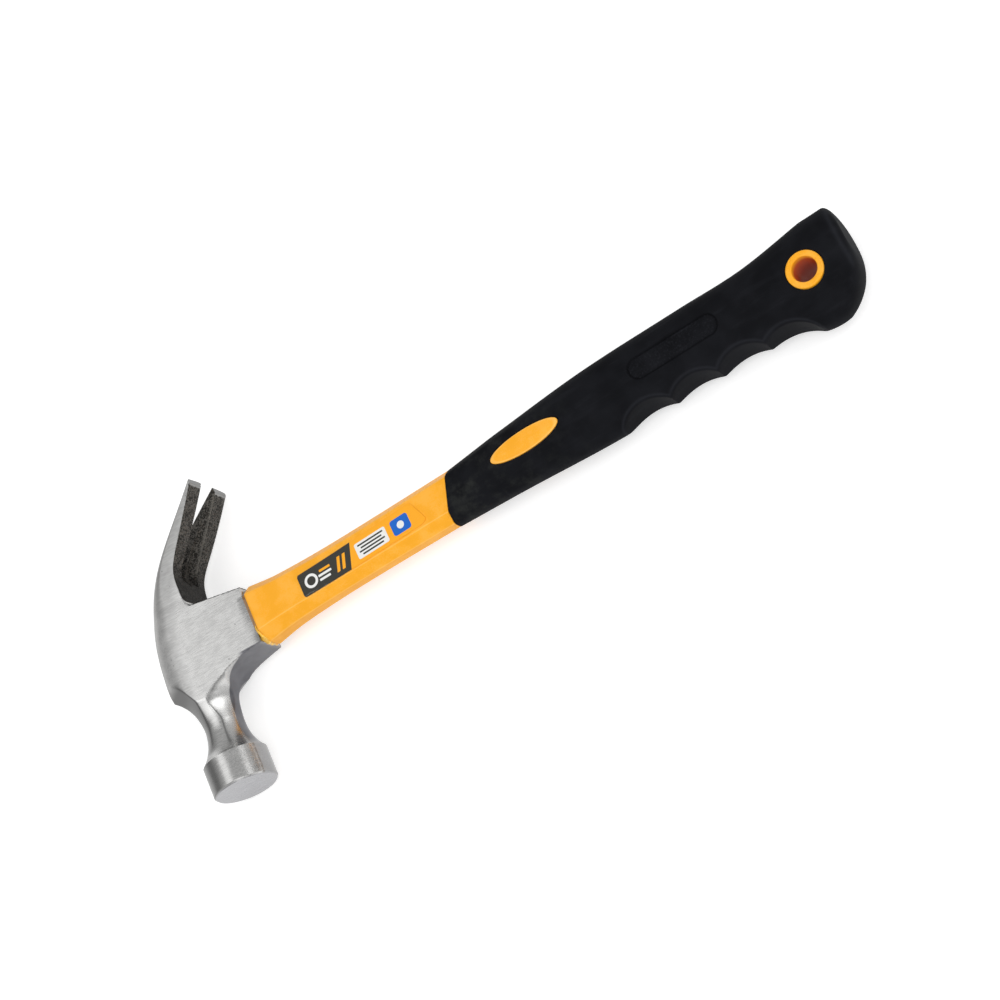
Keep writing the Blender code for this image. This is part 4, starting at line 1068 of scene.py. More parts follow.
def make_bush(grip, material):
    """Tube turned round the hang hole's axis: a closed profile with rounded rims."""
    half = grip_half(grip.hole_centre[0]) + grip.bush_proud
    bend = np.linspace(0, np.pi / 2, 7)
    rim = grip.bush_round
    wall = np.linspace(half - rim, rim - half, 24)
    radius = np.concatenate((
        grip.bush_radius + rim * (np.cos(bend[::-1]) - 1), np.full(22, grip.bush_radius),
        grip.bush_radius + rim * (np.cos(bend) - 1),
        grip.hole_radius + rim * (1 - np.cos(bend[::-1])), np.full(22, grip.hole_radius),
        grip.hole_radius + rim * (1 - np.cos(bend)),
    ))
    height = np.concatenate((
        half + rim * (np.sin(bend[::-1]) - 1), wall[1:-1], rim - half - rim * np.sin(bend),
        rim - half - rim * np.sin(bend[::-1]), wall[::-1][1:-1], half + rim * (np.sin(bend) - 1),
    ))
    turn = circle_angles(96)
    rings = np.stack((
        grip.hole_centre[0] + radius[:, None] * np.cos(turn),
        grip.hole_centre[1] + radius[:, None] * np.sin(turn),
        np.broadcast_to(height[:, None], (len(height), len(turn))),
    ), axis=-1)
    rows, count, _ = rings.shape
    index = np.arange(rows * count).reshape(rows, count)
    after = np.roll(index, -1, axis=0)
    faces = np.stack((index, np.roll(index, -1, axis=1), np.roll(after, -1, axis=1), after), axis=-1)
    inner_wall = radius < (grip.hole_radius + grip.bush_radius) / 2
    # painted shade down the bore's inner wall, below the rim
    shaded = inner_wall * soft_step(half - 0.0010, half - 0.0040, np.abs(height))
    bore = np.broadcast_to(shaded[:, None], (rows, count))
    obj = mesh_object("hang_hole_bush_tube", rings.reshape(-1, 3), faces.reshape(-1, 4).tolist(), 40.0,
                      {"bore": bore})
    finish_piece(obj, (material,), "bush_plastic", "hang_hole_bush")


# Label

def label_corners(label):
    """Corners of the printed film, anticlockwise from its front on the claw side."""
    return np.array((label.front_high, label.front_low, label.rear_low, label.rear_nose, label.rear_high))


def rounded_corners(corners, radius, steps=8):
    """Outline with its corners rounded: quadratic bends between points set back along both edges."""
    before = np.roll(corners, 1, axis=0) - corners
    after = np.roll(corners, -1, axis=0) - corners
    before /= np.hypot(*before.T)[:, None]
    after /= np.hypot(*after.T)[:, None]
    t = np.linspace(0, 1, steps)[None, :, None]
    corners, before, after = (part[:, None, :] for part in (corners, before, after))
    return (corners + radius * before * (1 - t) ** 2 + radius * after * t ** 2).reshape(-1, 2)


def make_label(head, handle, grip, label, material):
    """Thin film on the broad flat: a strip from edge to edge at each place along x, closed round its rim."""
    outline = rounded_corners(label_corners(label), label.corner_radius)
    shy = 2e-5  # keeps the first and last strips from closing to a point
    x = np.linspace(outline[:, 0].min() + shy, outline[:, 0].max() - shy, 160)
    first = np.argmin(outline[:, 0])
    ordered = np.roll(outline, -first, axis=0)
    last = np.argmax(ordered[:, 0])
    low = np.interp(x, ordered[:last + 1, 0], ordered[:last + 1, 1])
    back = np.vstack((ordered[last:], ordered[:1]))[::-1]
    high = np.interp(x, back[:, 0], back[:, 1])
    across = np.linspace(0, 1, 12)
    y = low[:, None] + (high - low)[:, None] * across
    under = jacket_half(head, handle, grip, x)[1] + label.gap
    y = np.concatenate((y, y[:, ::-1]), axis=1)
    z = np.repeat(np.stack((under + label.thickness, under), axis=1), len(across), axis=1)
    rings = np.stack((np.broadcast_to(x[:, None], y.shape), y, z), axis=-1)
    obj = tube_object("handle_label_film", rings, 40.0)
    finish_piece(obj, (material,), "label_film", "handle_label")


# Finishes

def add_node(tree, kind, inputs=None, **settings):
    """Node with its settings; each input is a value or another node's output."""
    node = tree.nodes.new(kind)
    for name, value in settings.items():
        setattr(node, name, value)
    for name, value in (inputs or {}).items():
        if isinstance(value, bpy.types.NodeSocket):
            tree.links.new(value, node.inputs[name])
        else:
            node.inputs[name].default_value = value
    return node


def calculate(tree, operation, *values):
    """Output of one math node."""
    return add_node(tree, "ShaderNodeMath", dict(enumerate(values)), operation=operation).outputs[0]


def times(tree, first, second):
    """Product of two values."""
    return calculate(tree, "MULTIPLY", first, second)


def span(tree, value, low, high, to_low=0.0, to_high=1.0):
    """Smooth step from one range to another."""
    return add_node(tree, "ShaderNodeMapRange", {
        "Value": value, "From Min": low, "From Max": high, "To Min": to_low, "To Max": to_high,
    }, interpolation_type="SMOOTHSTEP").outputs[0]


def blend_colours(tree, factor, under, over):
    """One colour laid over another by a factor. The mix node's colour sockets are 6, 7 and, going out, 2."""
    node = add_node(tree, "ShaderNodeMix", {0: factor, 6: under, 7: over}, data_type="RGBA")
    return node.outputs[2]


def opaque(rgb, factor=1.0):
    """Colour with full alpha, brightened by a factor."""
    return (*(part * factor for part in rgb), 1.0)


def shades(tree, factor, rgb, low, high):
    """Two brightnesses of one colour, blended by a factor."""
    return blend_colours(tree, factor, opaque(rgb, low), opaque(rgb, high))


def noise(tree, vector, scale, detail=2.0, roughness=0.5):
    """Fractal noise from 0 to 1."""
    return add_node(tree, "ShaderNodeTexNoise", {
        "Vector": vector, "Scale": scale, "Detail": detail, "Roughness": roughness}).outputs["Fac"]


def cells(tree, vector, scale, **settings):
    """Outputs of a cellular noise."""
    return add_node(tree, "ShaderNodeTexVoronoi", {"Vector": vector, "Scale": scale}, **settings).outputs


def stretched(tree, vector, scale, turn=(0.0, 0.0, 0.0)):
    """Place scaled, then turned."""
    return add_node(tree, "ShaderNodeMapping", {
        "Vector": vector, "Rotation": turn, "Scale": scale}).outputs[0]


def object_place(tree):
    """Place in the piece's own coordinates."""
    return add_node(tree, "ShaderNodeTexCoord").outputs["Object"]


def point_mask(tree, name):
    """Mask that the mesh carries at its points."""
    return add_node(tree, "ShaderNodeAttribute", attribute_name=name).outputs["Fac"]


def bump(tree, height, distance, strength=1.0, **under):
    """Normal of a bumpy surface; Normal may name the one that it lies over."""
    return add_node(tree, "ShaderNodeBump", {
        "Height": height, "Distance": distance, "Strength": strength, **under}).outputs[0]


def new_finish(name, **constants):
    """Material with one Principled shader; the constants go on the shader's own sockets."""
    material = bpy.data.materials.new(name)
    material.use_nodes = True
    tree = material.node_tree
    shader = tree.nodes["Principled BSDF"]
    for label, value in constants.items():
        shader.inputs[label.replace("_", " ").title().replace("Ior", "IOR")].default_value = value
    return material, tree, shader


def wire(tree, shader, **outputs):
    """Link outputs to the shader's inputs of the same names."""
    for label, output in outputs.items():
        tree.links.new(output, shader.inputs[label.replace("_", " ").title()])


def effect_group(name, inputs, outputs):
    """Empty node group with named inputs (type, default) and outputs."""
    group = bpy.data.node_groups.new(name, "ShaderNodeTree")
    for label, (kind, default) in inputs.items():
        socket = group.interface.new_socket(label, in_out="INPUT", socket_type=kind)
        if default is not None:
            socket.default_value = default
    for label in outputs:
        group.interface.new_socket(label, in_out="OUTPUT", socket_type="NodeSocketFloat")
    return group, group.nodes.new("NodeGroupInput").outputs, group.nodes.new("NodeGroupOutput")


def use_group(tree, name, inputs):
    """Outputs of one of the shared groups."""
    return add_node(tree, "ShaderNodeGroup", inputs, node_tree=bpy.data.node_groups[name]).outputs


NUMBER = "NodeSocketFloat"
VECTOR = "NodeSocketVector"


def build_moulded_grain():
    """Moulded grain: a fine noise for the surface's pores over a slow one for its waviness and sheen."""
    group, given, out = effect_group("moulded_grain", {
        "Vector": (VECTOR, None), "Fine": (NUMBER, 2500.0), "Slow": (NUMBER, 120.0)}, ("Height", "Sheen"))
    fine = noise(group, given["Vector"], given["Fine"], 3.0, 0.6)
    slow = noise(group, given["Vector"], given["Slow"], 2.0)
    height = calculate(group, "MULTIPLY_ADD", slow, 0.6, times(group, fine, 0.4))
    group.links.new(height, out.inputs["Height"])
    group.links.new(slow, out.inputs["Sheen"])


def build_brushed_lines():
    """Brushed lines along x: noise drawn out along x, fine scratches over broad streaks."""
    group, given, out = effect_group("brushed_lines", {
        "Vector": (VECTOR, None), "Fineness": (NUMBER, 90.0)}, ("Height", "Tone"))
    drawn = stretched(group, given["Vector"], (1.0, 13.0, 13.0), (0.0, 0.0, math.radians(-4)))
    fine = noise(group, drawn, given["Fineness"], 3.0, 0.65)
    broad = noise(group, drawn, times(group, given["Fineness"], 0.22), 2.0)
    cloud = noise(group, given["Vector"], times(group, given["Fineness"], 1.1), 3.0)
    tone = calculate(group, "MULTIPLY_ADD", fine, 0.62, times(group, broad, 0.13))
    tone = calculate(group, "MULTIPLY_ADD", cloud, 0.25, tone)
    group.links.new(fine, out.inputs["Height"])
    group.links.new(tone, out.inputs["Tone"])


def build_scuffs():
    """Scuffs: thin streaks of drawn-out noise, kept where a slow noise is high."""
    group, given, out = effect_group("scuffs", {
        "Vector": (VECTOR, None), "Scale": (NUMBER, 60.0), "Amount": (NUMBER, 0.5)}, ("Mask",))
    drawn = stretched(group, given["Vector"], (1.0, 14.0, 14.0), (0.0, 0.0, math.radians(35)))
    streak = span(group, noise(group, drawn, given["Scale"], 4.0, 0.7), 0.60, 0.72)
    place_mask = span(group, noise(group, given["Vector"], given["Scale"], 2.0), 0.45, 0.65)
    mask = times(group, times(group, streak, place_mask), given["Amount"])
    group.links.new(mask, out.inputs["Mask"])


def build_printed_patch():
    """Printed patch: 1 inside a rounded rectangle, from the distance to its rounded outline."""
    group, given, out = effect_group("printed_patch", {
        "Vector": (VECTOR, None), "Centre": (VECTOR, (0.0, 0.0, 0.0)),
        "Half Size": (VECTOR, (0.001, 0.001, 0.0)), "Corner": (NUMBER, 0.0004), "Slant": (NUMBER, 0.0),
    }, ("Mask",))
    offset = add_node(group, "ShaderNodeVectorMath", {0: given["Vector"], 1: given["Centre"]},
                      operation="SUBTRACT").outputs[0]
    parts = add_node(group, "ShaderNodeSeparateXYZ", {0: offset}).outputs
    half = add_node(group, "ShaderNodeSeparateXYZ", {0: given["Half Size"]}).outputs
    along = calculate(group, "SUBTRACT", parts["X"], times(group, parts["Y"], given["Slant"]))
    past = []
    for place_along, limit in ((along, half["X"]), (parts["Y"], half["Y"])):
        beyond = calculate(group, "SUBTRACT", calculate(group, "ABSOLUTE", place_along), limit)
        past.append(calculate(group, "ADD", beyond, given["Corner"]))
    squares = [calculate(group, "POWER", calculate(group, "MAXIMUM", value, 0.0), 2.0) for value in past]
    outside = calculate(group, "SQRT", calculate(group, "ADD", *squares))
    inside = calculate(group, "MINIMUM", calculate(group, "MAXIMUM", *past), 0.0)
    distance = calculate(group, "SUBTRACT", calculate(group, "ADD", outside, inside), given["Corner"])
    soft = 0.00006  # half width of the ink's edge
    group.links.new(span(group, distance, soft, -soft), out.inputs["Mask"])


def build_rough_scale():
    """Forging scale: fine grit over a cellular pitting, as a tone and a height."""
    group, given, out = effect_group("rough_scale", {"Vector": (VECTOR, None)}, ("Tone", "Height"))
    pits = cells(group, given["Vector"], 1500.0)["Distance"]
    grit = noise(group, given["Vector"], 1600.0, 2.0, 0.6)
    patches = noise(group, given["Vector"], 260.0, 3.0)
    tone = calculate(group, "MULTIPLY_ADD", patches, 0.25, times(group, grit, 0.75))
    group.links.new(span(group, tone, 0.43, 0.59), out.inputs["Tone"])
    group.links.new(calculate(group, "MULTIPLY_ADD", pits, 0.5, grit), out.inputs["Height"])


def build_nicks():
    """Nicks: small spots round the points of a cellular noise, only in the cells that draw a high number."""
    group, given, out = effect_group("nicks", {
        "Vector": (VECTOR, None), "Scale": (NUMBER, 260.0)}, ("Mask",))
    pattern = cells(group, given["Vector"], given["Scale"])
    drawn = add_node(group, "ShaderNodeSeparateColor", {0: pattern["Color"]}).outputs[0]
    spot = span(group, pattern["Distance"], 0.13, 0.05)
    group.links.new(times(group, spot, span(group, drawn, 0.72, 0.80)), out.inputs["Mask"])


def scale_colour(tree, head, tone):
    """Dark scale with paler grit, darkest down at the root of the claws."""
    gritty = shades(tree, tone, head.scale, 0.35, 2.4)
    shaded = times(tree, point_mask(tree, "root_shade"), 0.75)
    return blend_colours(tree, shaded, gritty, opaque(head.scale, 0.12))


def forge_scale(head):
    """Walls of the claws' channel and nail slot: dark scale that the grinding never reached."""
    material, tree, shader = new_finish(
        "forge_scale", ior=1.45, specular_ior_level=0.15, roughness=0.62, metallic=0.2)
    rough_scale = use_group(tree, "rough_scale", {"Vector": object_place(tree)})
    dark = scale_colour(tree, head, rough_scale["Tone"])
    # painted highlight along the ridges of the channel
    worn = times(tree, calculate(tree, "POWER", point_mask(tree, "ridge"), 4.0), 0.8)
    dark = blend_colours(tree, worn, dark, opaque(head.scale, 3.6))
    wire(tree, shader, base_color=dark, normal=bump(tree, rough_scale["Height"], 0.00035, 0.9))
    return material


def ground_steel(head):
    """Steel head: brushed where it was ground, smooth on the handle side and darkened there with painted shade,
    dark scale inside the claws, painted shade and painted highlights on neck and crown.
    """
    material, tree, shader = new_finish("ground_steel", ior=1.45, specular_ior_level=0.15)
    at = object_place(tree)
    lines = use_group(tree, "brushed_lines", {"Vector": at, "Fineness": 190.0})
    rough_scale = use_group(tree, "rough_scale", {"Vector": at})
    ragged = noise(tree, at, 900.0, 3.0)
    centred = calculate(tree, "SUBTRACT", ragged, 0.5)
    skin = calculate(tree, "MULTIPLY_ADD", centred, 0.5, point_mask(tree, "scale_skin"))
    skin = span(tree, skin, 0.35, 0.65)
    smooth = point_mask(tree, "unground")
    struck = point_mask(tree, "face")
    blotches = span(tree, noise(tree, at, 700.0, 3.0), 0.15, 0.50, 0.0, 0.8)
    stain = times(tree, point_mask(tree, "stain"), blotches)
    ground = shades(tree, span(tree, lines["Tone"], 0.36, 0.64), head.steel, 0.84, 1.16)
    nicks = use_group(tree, "nicks", {"Vector": at, "Scale": 260.0})["Mask"]
    scratches = use_group(tree, "scuffs", {"Vector": at, "Scale": 120.0, "Amount": 1.0})["Mask"]
    ground = blend_colours(tree, times(tree, scratches, 0.35), ground, opaque(head.steel, 1.35))
    ground = blend_colours(tree, times(tree, nicks, 0.55), ground, opaque(head.steel, 0.30))
    # painted highlights on the neck's corner facet and on its faces turned towards the bell
    ground = blend_colours(tree, point_mask(tree, "polished"), ground, opaque(head.steel, 1.34))
    # painted shade on the crown, the handle-facing sides of neck and bell, the crease, the margin and the tip
    ground = blend_colours(tree, point_mask(tree, "dulled"), ground, opaque(head.steel, 0.32))
    plain = shades(tree, span(tree, noise(tree, at, 160.0, 3.0), 0.3, 0.7), head.tumbled_shaded, 0.86, 1.10)
    ground = blend_colours(tree, times(tree, struck, 0.7), ground, opaque(head.struck))
    # smooth handle-side steel, partly painted shade
    ground = blend_colours(tree, smooth, ground, plain)
    ground = blend_colours(tree, stain, ground, opaque(head.stain))
    dark = scale_colour(tree, head, rough_scale["Tone"])
    patchy = span(tree, rough_scale["Tone"], 0.1, 0.7, 0.0, 0.3)
    # painted highlight along the ridges of the channel, patchy
    worn = times(tree, point_mask(tree, "ridge"), patchy)
    dark = blend_colours(tree, worn, dark, opaque(head.scale, 3.6))
    base = blend_colours(tree, skin, ground, dark)
    rough = calculate(tree, "MULTIPLY_ADD", lines["Tone"], 0.14, 0.20)
    rough = calculate(tree, "MULTIPLY_ADD", smooth, 0.06, rough)
    rough = calculate(tree, "MULTIPLY_ADD", point_mask(tree, "crown"), 0.18, rough)
    rough = calculate(tree, "MAXIMUM", rough, times(tree, skin, 0.62))
    metal = span(tree, skin, 0.0, 1.0, 1.0, 0.2)
    bare = calculate(tree, "MAXIMUM", smooth, struck)
    lines_height = times(tree, lines["Height"], calculate(tree, "SUBTRACT", 1.0, bare))
    height = times(tree, lines_height, calculate(tree, "SUBTRACT", 1.0, skin))
    fine = bump(tree, height, 0.00002, 0.55)
    cast = times(tree, skin, rough_scale["Height"])
    coarse = bump(tree, cast, 0.00035, 0.9, Normal=fine)
    wire(tree, shader, base_color=base, roughness=rough, metallic=metal, normal=coarse)
    return material


def moulded_plastic(name, colour_value, worn_value, roughness, bore=None):
    """Moulded plastic: slow drift, speckle and orange peel, with pale rubbed scuffs, painted highlights on the
    edges, and painted shade in a bore.
    """
    material, tree, shader = new_finish(name, ior=1.46, specular_ior_level=0.20)
    at = object_place(tree)
    grain = use_group(tree, "moulded_grain", {"Vector": at, "Fine": 1700.0, "Slow": 130.0})
    rub = use_group(tree, "scuffs", {"Vector": at, "Scale": 55.0, "Amount": 0.5})["Mask"]
    base = shades(tree, span(tree, grain["Sheen"], 0.3, 0.7), colour_value, 0.965, 1.02)
    base = blend_colours(tree, span(tree, grain["Height"], 0.42, 0.62, 0.0, 0.24), base, opaque(worn_value))
    # rubbed scuffs and painted highlights on the edges
    worn = calculate(tree, "MAXIMUM", times(tree, rub, 0.12),
                     times(tree, point_mask(tree, "worn_edge"), 0.55))
    base = blend_colours(tree, worn, base, opaque(worn_value))
    # painted shade inside the bore
    if bore:
        base = blend_colours(tree, point_mask(tree, "bore"), base, opaque(bore))
    sheen = span(tree, grain["Sheen"], 0.2, 0.8, roughness - 0.05, roughness + 0.07)
    rough = calculate(tree, "ADD", sheen, times(tree, rub, 0.10))
    wire(tree, shader, base_color=base, roughness=rough, normal=bump(tree, grain["Height"], 0.00006, 0.6))
    return material


def cast_resin(name, colour_value):
    """Clear resin that set in lumps: glossy, with paler and browner veins."""
    material, tree, shader = new_finish(name, ior=1.55, coat_weight=0.4, coat_roughness=0.08)
    at = object_place(tree)
    veins = noise(tree, at, 700.0, 4.0, 0.6)
    base = shades(tree, span(tree, veins, 0.34, 0.66), colour_value, 0.62, 1.0)
    rough = span(tree, veins, 0.3, 0.7, 0.10, 0.24)
    wire(tree, shader, base_color=base, roughness=rough, normal=bump(tree, veins, 0.00018, 0.6))
    return material


def fibre_rod():
    """Cut rod: pale glass fibres along x in amber resin, seen as dots on the cut end."""
    material, tree, shader = new_finish("fibre_rod", ior=1.52, roughness=0.42)
    drawn = stretched(tree, object_place(tree), (0.04, 1.0, 1.0))
    fibres = cells(tree, drawn, 2600.0)["Distance"]
    clouds = noise(tree, drawn, 420.0, 3.0)
    amber = blend_colours(tree, clouds, (0.46, 0.34, 0.13, 1.0), (0.66, 0.55, 0.28, 1.0))
    base = blend_colours(tree, span(tree, fibres, 0.25, 0.55), (0.80, 0.76, 0.60, 1.0), amber)
    wire(tree, shader, base_color=base, normal=bump(tree, fibres, 0.00005, 0.5))
    return material


def black_rubber(grip):
    """Black rubber: fine moulded grain, dull rubbed places, rims lightened as wear and as painted highlight,
    painted shade along the shallow slot's edge, and a pebbled floor in the slot.
    """
    material, tree, shader = new_finish("black_rubber", ior=1.45, specular_ior_level=0.02)
    at = object_place(tree)
    grain = use_group(tree, "moulded_grain", {"Vector": at, "Fine": 2600.0, "Slow": 90.0})
    rub = use_group(tree, "scuffs", {"Vector": at, "Scale": 48.0, "Amount": 0.8})["Mask"]
    pebbles = cells(tree, at, 1250.0, feature="SMOOTH_F1")["Distance"]
    floor = point_mask(tree, "slot_floor")
    base = shades(tree, span(tree, grain["Sheen"], 0.3, 0.7), grip.rubber, 0.80, 1.22)
    drawn = stretched(tree, at, (45.0, 260.0, 260.0))
    streaks = span(tree, noise(tree, drawn, 1.0, 4.0, 0.6), 0.50, 0.74, 0.0, 0.14)
    base = blend_colours(tree, streaks, base, opaque(grip.rubber, 3.2))
    along = add_node(tree, "ShaderNodeSeparateXYZ", {0: at}).outputs[0]
    clouds = span(tree, noise(tree, at, 120.0, 5.0, 0.7), 0.44, 0.74)
    dust = times(tree, span(tree, along, 0.060, -0.010, 0.0, 0.55), clouds)
    base = blend_colours(tree, dust, base, opaque(grip.dust))
    # rubbed scuffs, and rims lightened as wear and as painted highlight
    rubbed = calculate(tree, "MAXIMUM", times(tree, rub, 0.35),
                       times(tree, point_mask(tree, "rubbed"), 0.30))
    base = blend_colours(tree, rubbed, base, opaque(grip.rubber, 4.0))
    # painted shade along the slot's edge
    shaded = times(tree, point_mask(tree, "slot_edge"), 0.8)
    base = blend_colours(tree, shaded, base, opaque(grip.rubber, 0.2))
    sheen = span(tree, grain["Sheen"], 0.2, 0.8, 0.52, 0.62)
    rough = calculate(tree, "ADD", sheen, times(tree, rub, 0.12))
    fine = bump(tree, grain["Height"], 0.00006, 0.6)
    pebbled = times(tree, calculate(tree, "SUBTRACT", 1.0, pebbles), floor)
    base = blend_colours(tree, span(tree, pebbled, 0.62, 0.85, 0.0, 0.22), base, opaque(grip.rubber, 3.4))
    coarse = bump(tree, pebbled, 0.00025, 0.9, Normal=fine)
    wire(tree, shader, base_color=base, roughness=rough, normal=coarse)
    return material


def printed_film(label):
    """Printed film: a dark panel with a ring and bars, a pale block with rules, and a blue tag with a dot.

    The print lies in the film's own axes, from its front end along the handle and from its middle across.
    """
    material, tree, shader = new_finish("printed_film", ior=1.46, specular_ior_level=0.20)
    at = object_place(tree)
    corners = label_corners(label)
    start = datum() + (*(corners[0] + corners[1]) / 2, 0)
    tilt = math.atan2(*(corners[2] - corners[1])[::-1])
    moved = add_node(tree, "ShaderNodeVectorMath", {0: at, 1: tuple(start)}, operation="SUBTRACT").outputs[0]
    lie = stretched(tree, moved, (1.0, 1.0, 1.0), (0.0, 0.0, -tilt))

    def patch(centre, half, corner, slant=0.0):
        return use_group(tree, "printed_patch", {
            "Vector": lie, "Centre": (*centre, 0.0), "Half Size": (*half, 0.0),
            "Corner": corner, "Slant": slant})["Mask"]

    def disc(centre, radius):
        return patch(centre, (radius, radius), radius)

    lean = 0.35
    ring, block, tag = (0.0052, 0.0), (0.0350, 0.0), (0.0492, 0.0)
    layers = [(patch((0.0060, 0.0), (0.0185, 0.0090), 0.0010, lean), label.panel)]
    layers += [(patch((x, 0.0), (0.0007, 0.0030), 0.0002, lean), label.film) for x in (0.0185, 0.0211)]
    layers += [(disc(ring, 0.0030), label.paper),
               (disc(ring, 0.0019), label.panel),
               (patch((0.0123, 0.0018), (0.0026, 0.0005), 0.0003), label.film),
               (patch((0.0118, 0.0), (0.0031, 0.0005), 0.0003), label.paper),
               (patch((0.0113, -0.0018), (0.0026, 0.0005), 0.0003), label.paper),
               (patch(block, (0.0075, 0.0034), 0.0008), label.paper)]
    rules = ((0.0021, 0.0062), (0.0007, 0.0051), (-0.0007, 0.0062), (-0.0021, 0.0051))
    layers += [(patch((block[0], y), (half, 0.00035), 0.0002), label.panel) for y, half in rules]
    layers += [(patch(tag, (0.0042, 0.0034), 0.0012), label.tag),
               (disc(tag, 0.0016), label.paper)]
    base = opaque(label.film)
    for mask, ink in layers:
        base = blend_colours(tree, mask, base, opaque(ink))
    grain = use_group(tree, "moulded_grain", {"Vector": at, "Fine": 3200.0, "Slow": 160.0})
    worn = use_group(tree, "scuffs", {"Vector": at, "Scale": 70.0, "Amount": 0.5})["Mask"]
    base = blend_colours(tree, times(tree, worn, 0.3), base, opaque(label.paper))
    rough = span(tree, grain["Sheen"], 0.2, 0.8, 0.32, 0.44)
    wire(tree, shader, base_color=base, roughness=rough, normal=bump(tree, grain["Height"], 0.00002, 0.4))
    return material


# Stage

def floor_finish(stage):
    """Pale matt floor that keeps the hammer's shadow; the camera and reflections see it lifted to white."""
    material, tree, shader = new_finish("pale_floor", roughness=0.9)
    at = object_place(tree)
    mottle = noise(tree, at, 9.0, 2.0)
    wire(tree, shader, base_color=shades(tree, mottle, stage.floor, 0.985, 1.0))
    rays = add_node(tree, "ShaderNodeLightPath").outputs
    mirrored = calculate(tree, "MAXIMUM", rays["Is Glossy Ray"], rays["Is Transmission Ray"])
    seen = calculate(tree, "MAXIMUM", rays["Is Camera Ray"], mirrored)
    glow = add_node(tree, "ShaderNodeEmission", {
        "Color": opaque((1.0, 1.0, 1.0)), "Strength": times(tree, seen, stage.floor_lift)})
    both = add_node(tree, "ShaderNodeAddShader", {0: shader.outputs[0], 1: glow.outputs[0]})
    tree.links.new(both.outputs[0], tree.nodes["Material Output"].inputs["Surface"])
    return material


def make_floor(stage):
    """Flat square grid under the hammer, wide enough to fill the picture from every side."""
    reach = 6.0
    side = np.linspace(-reach, reach, 21)
    x, y = np.meshgrid(side, side, indexing="ij")
    points = np.stack((x, y, np.zeros_like(x)), axis=-1).reshape(-1, 3)
    index = np.arange(x.size).reshape(x.shape)
    faces = np.stack((index[:-1, :-1], index[1:, :-1], index[1:, 1:], index[:-1, 1:]), axis=-1).reshape(-1, 4)
    mesh = bpy.data.meshes.new("studio_floor")
    mesh.from_pydata(points, [], faces.tolist())
    floor = bpy.data.objects.new("studio_floor", mesh)
    bpy.context.scene.collection.objects.link(floor)
    mesh.materials.append(floor_finish(stage))


def make_lamp(name, location, target, size, radiance):
    """Soft rectangular lamp that faces a target; its power follows from its radiance and its size."""
    data = bpy.data.lights.new(name, "AREA")
    data.shape = "RECTANGLE"
    data.size, data.size_y = size
    data.energy = radiance * math.pi * size[0] * size[1]
    lamp = bpy.data.objects.new(name, data)
    lamp.location = location
    lamp.rotation_euler = (Vector(target) - Vector(location)).to_track_quat("-Z", "Y").to_euler()
    bpy.context.scene.collection.objects.link(lamp)


def make_world(stage):
    """Even soft fill from all round."""
    world = bpy.data.worlds.new("studio_fill")
    world.use_nodes = True
    background = world.node_tree.nodes["Background"]
    background.inputs["Strength"].default_value = stage.fill
    background.inputs["Color"].default_value = opaque((1.0, 1.0, 1.0))
    bpy.context.scene.world = world


def make_camera(stage):
    """Camera fitted to the photo."""
    data = bpy.data.cameras.new("photo_camera")
    data.sensor_width = 36.0
    data.lens = stage.lens
    camera = bpy.data.objects.new("photo_camera", data)
    camera.location = datum() + stage.camera_place
    camera.rotation_euler = stage.camera_turn
    bpy.context.scene.collection.objects.link(camera)
    bpy.context.scene.camera = camera


# Operators and panel

class HAMMER_OT_effects(bpy.types.Operator):
    """Build the node groups that the finishes share"""
    bl_idname = "hammer.effects"
    bl_label = "Shared effects"

    def execute(self, context):
        build_moulded_grain()
        build_brushed_lines()
        build_rough_scale()
        build_nicks()
        build_scuffs()
        build_printed_patch()
        return {"FINISHED"}


class HAMMER_OT_head(bpy.types.Operator):
    """Build the steel head with its neck, eye and claws"""
    bl_idname = "hammer.head"
    bl_label = "Head"

    def execute(self, context):
        head = context.scene.hammer_head
        make_head(head, ground_steel(head), forge_scale(head))
        return {"FINISHED"}


class HAMMER_OT_handle(bpy.types.Operator):
    """Build the jacket, and the resin and rod that join it to the head"""
    bl_idname = "hammer.handle"
    bl_label = "Handle"

    def execute(self, context):
        scene = context.scene
        head, handle, grip = scene.hammer_head, scene.hammer_handle, scene.hammer_grip
        make_jacket(head, handle, grip, moulded_plastic("jacket_plastic", handle.plastic, handle.worn, 0.38))
        # the collar's colour is partly painted shade in the gap at the mouth
        make_resin(head, handle, grip, cast_resin("collar_resin", handle.collar))
        make_bead(head, handle, cast_resin("bead_resin", handle.resin))
        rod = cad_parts["fibreglass_core"]
        rod.data.materials.clear()
        rod.data.materials.append(fibre_rod())
        return {"FINISHED"}


class HAMMER_OT_grip(bpy.types.Operator):
    """Build the rubber grip with its inlays and the bush of the hang hole"""
    bl_idname = "hammer.grip"
    bl_label = "Grip"

    def execute(self, context):
        handle, grip = context.scene.hammer_handle, context.scene.hammer_grip
        make_grip(handle, grip, black_rubber(grip))
        make_inlays(handle, grip, moulded_plastic("inlay_plastic", handle.plastic, handle.worn, 0.36))
        make_bush(grip, moulded_plastic("bush_plastic", handle.plastic, handle.worn, 0.40, grip.bore))
        return {"FINISHED"}


class HAMMER_OT_label(bpy.types.Operator):
    """Build the printed film on the handle"""
    bl_idname = "hammer.label"
    bl_label = "Label"

    def execute(self, context):
        scene = context.scene
        make_label(scene.hammer_head, scene.hammer_handle, scene.hammer_grip, scene.hammer_label,
                   printed_film(scene.hammer_label))
        return {"FINISHED"}


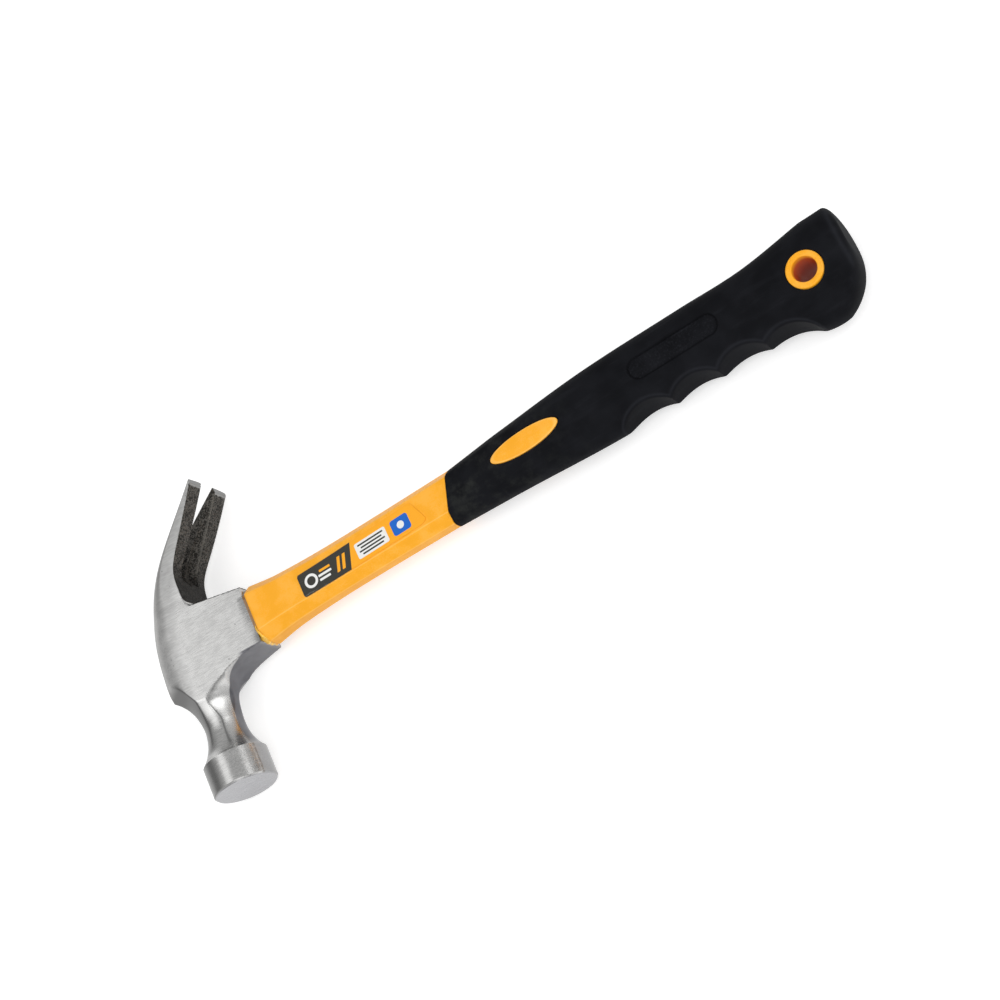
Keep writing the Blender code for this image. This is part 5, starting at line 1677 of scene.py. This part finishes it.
class HAMMER_OT_stage(bpy.types.Operator):
    """Set up the floor, the lamps, the fill light and the camera"""
    bl_idname = "hammer.stage"
    bl_label = "Stage"

    def execute(self, context):
        stage = context.scene.hammer_stage
        context.scene.view_settings.view_transform = "Standard"
        make_camera(stage)
        make_floor(stage)
        make_world(stage)
        middle, at_head = (0.0, 0.0, 0.02), (-0.14, -0.03, 0.015)
        make_lamp("long_softbox", stage.key_place, at_head, (1.32, 0.56), stage.key)
        make_lamp("top_strip", stage.strip_place, (0.25, -0.25, 0.0), (0.7, 0.4), stage.strip)
        make_lamp("side_softbox", stage.side_place, at_head, (0.66, 0.34), stage.side)
        make_lamp("front_softbox", stage.front_place, middle, (1.2, 0.8), stage.front)
        return {"FINISHED"}


class HAMMER_PT_panel(bpy.types.Panel):
    """Operators of the hammer, in their order"""
    bl_idname = "HAMMER_PT_panel"
    bl_label = "Claw hammer"
    bl_space_type = "VIEW_3D"
    bl_region_type = "UI"
    bl_category = "Hammer"

    def draw(self, context):
        for operator in OPERATORS:
            self.layout.operator(operator.bl_idname)


OPERATORS = (HAMMER_OT_stage, HAMMER_OT_effects, HAMMER_OT_head, HAMMER_OT_handle, HAMMER_OT_grip,
             HAMMER_OT_label)
GROUPS = {
    "hammer_head": HeadProperties,
    "hammer_handle": HandleProperties,
    "hammer_grip": GripProperties,
    "hammer_label": LabelProperties,
    "hammer_stage": StageProperties,
}


def register():
    for name, group in GROUPS.items():
        bpy.utils.register_class(group)
        setattr(bpy.types.Scene, name, PointerProperty(type=group))
    for kind in (*OPERATORS, HAMMER_PT_panel):
        bpy.utils.register_class(kind)


def unregister():
    for kind in (HAMMER_PT_panel, *reversed(OPERATORS)):
        bpy.utils.unregister_class(kind)
    for name, group in GROUPS.items():
        delattr(bpy.types.Scene, name)
        bpy.utils.unregister_class(group)


def main():
    register()
    for operator in OPERATORS:
        family, name = operator.bl_idname.split(".")
        getattr(getattr(bpy.ops, family), name)()


if __name__ == "__main__":
    main()
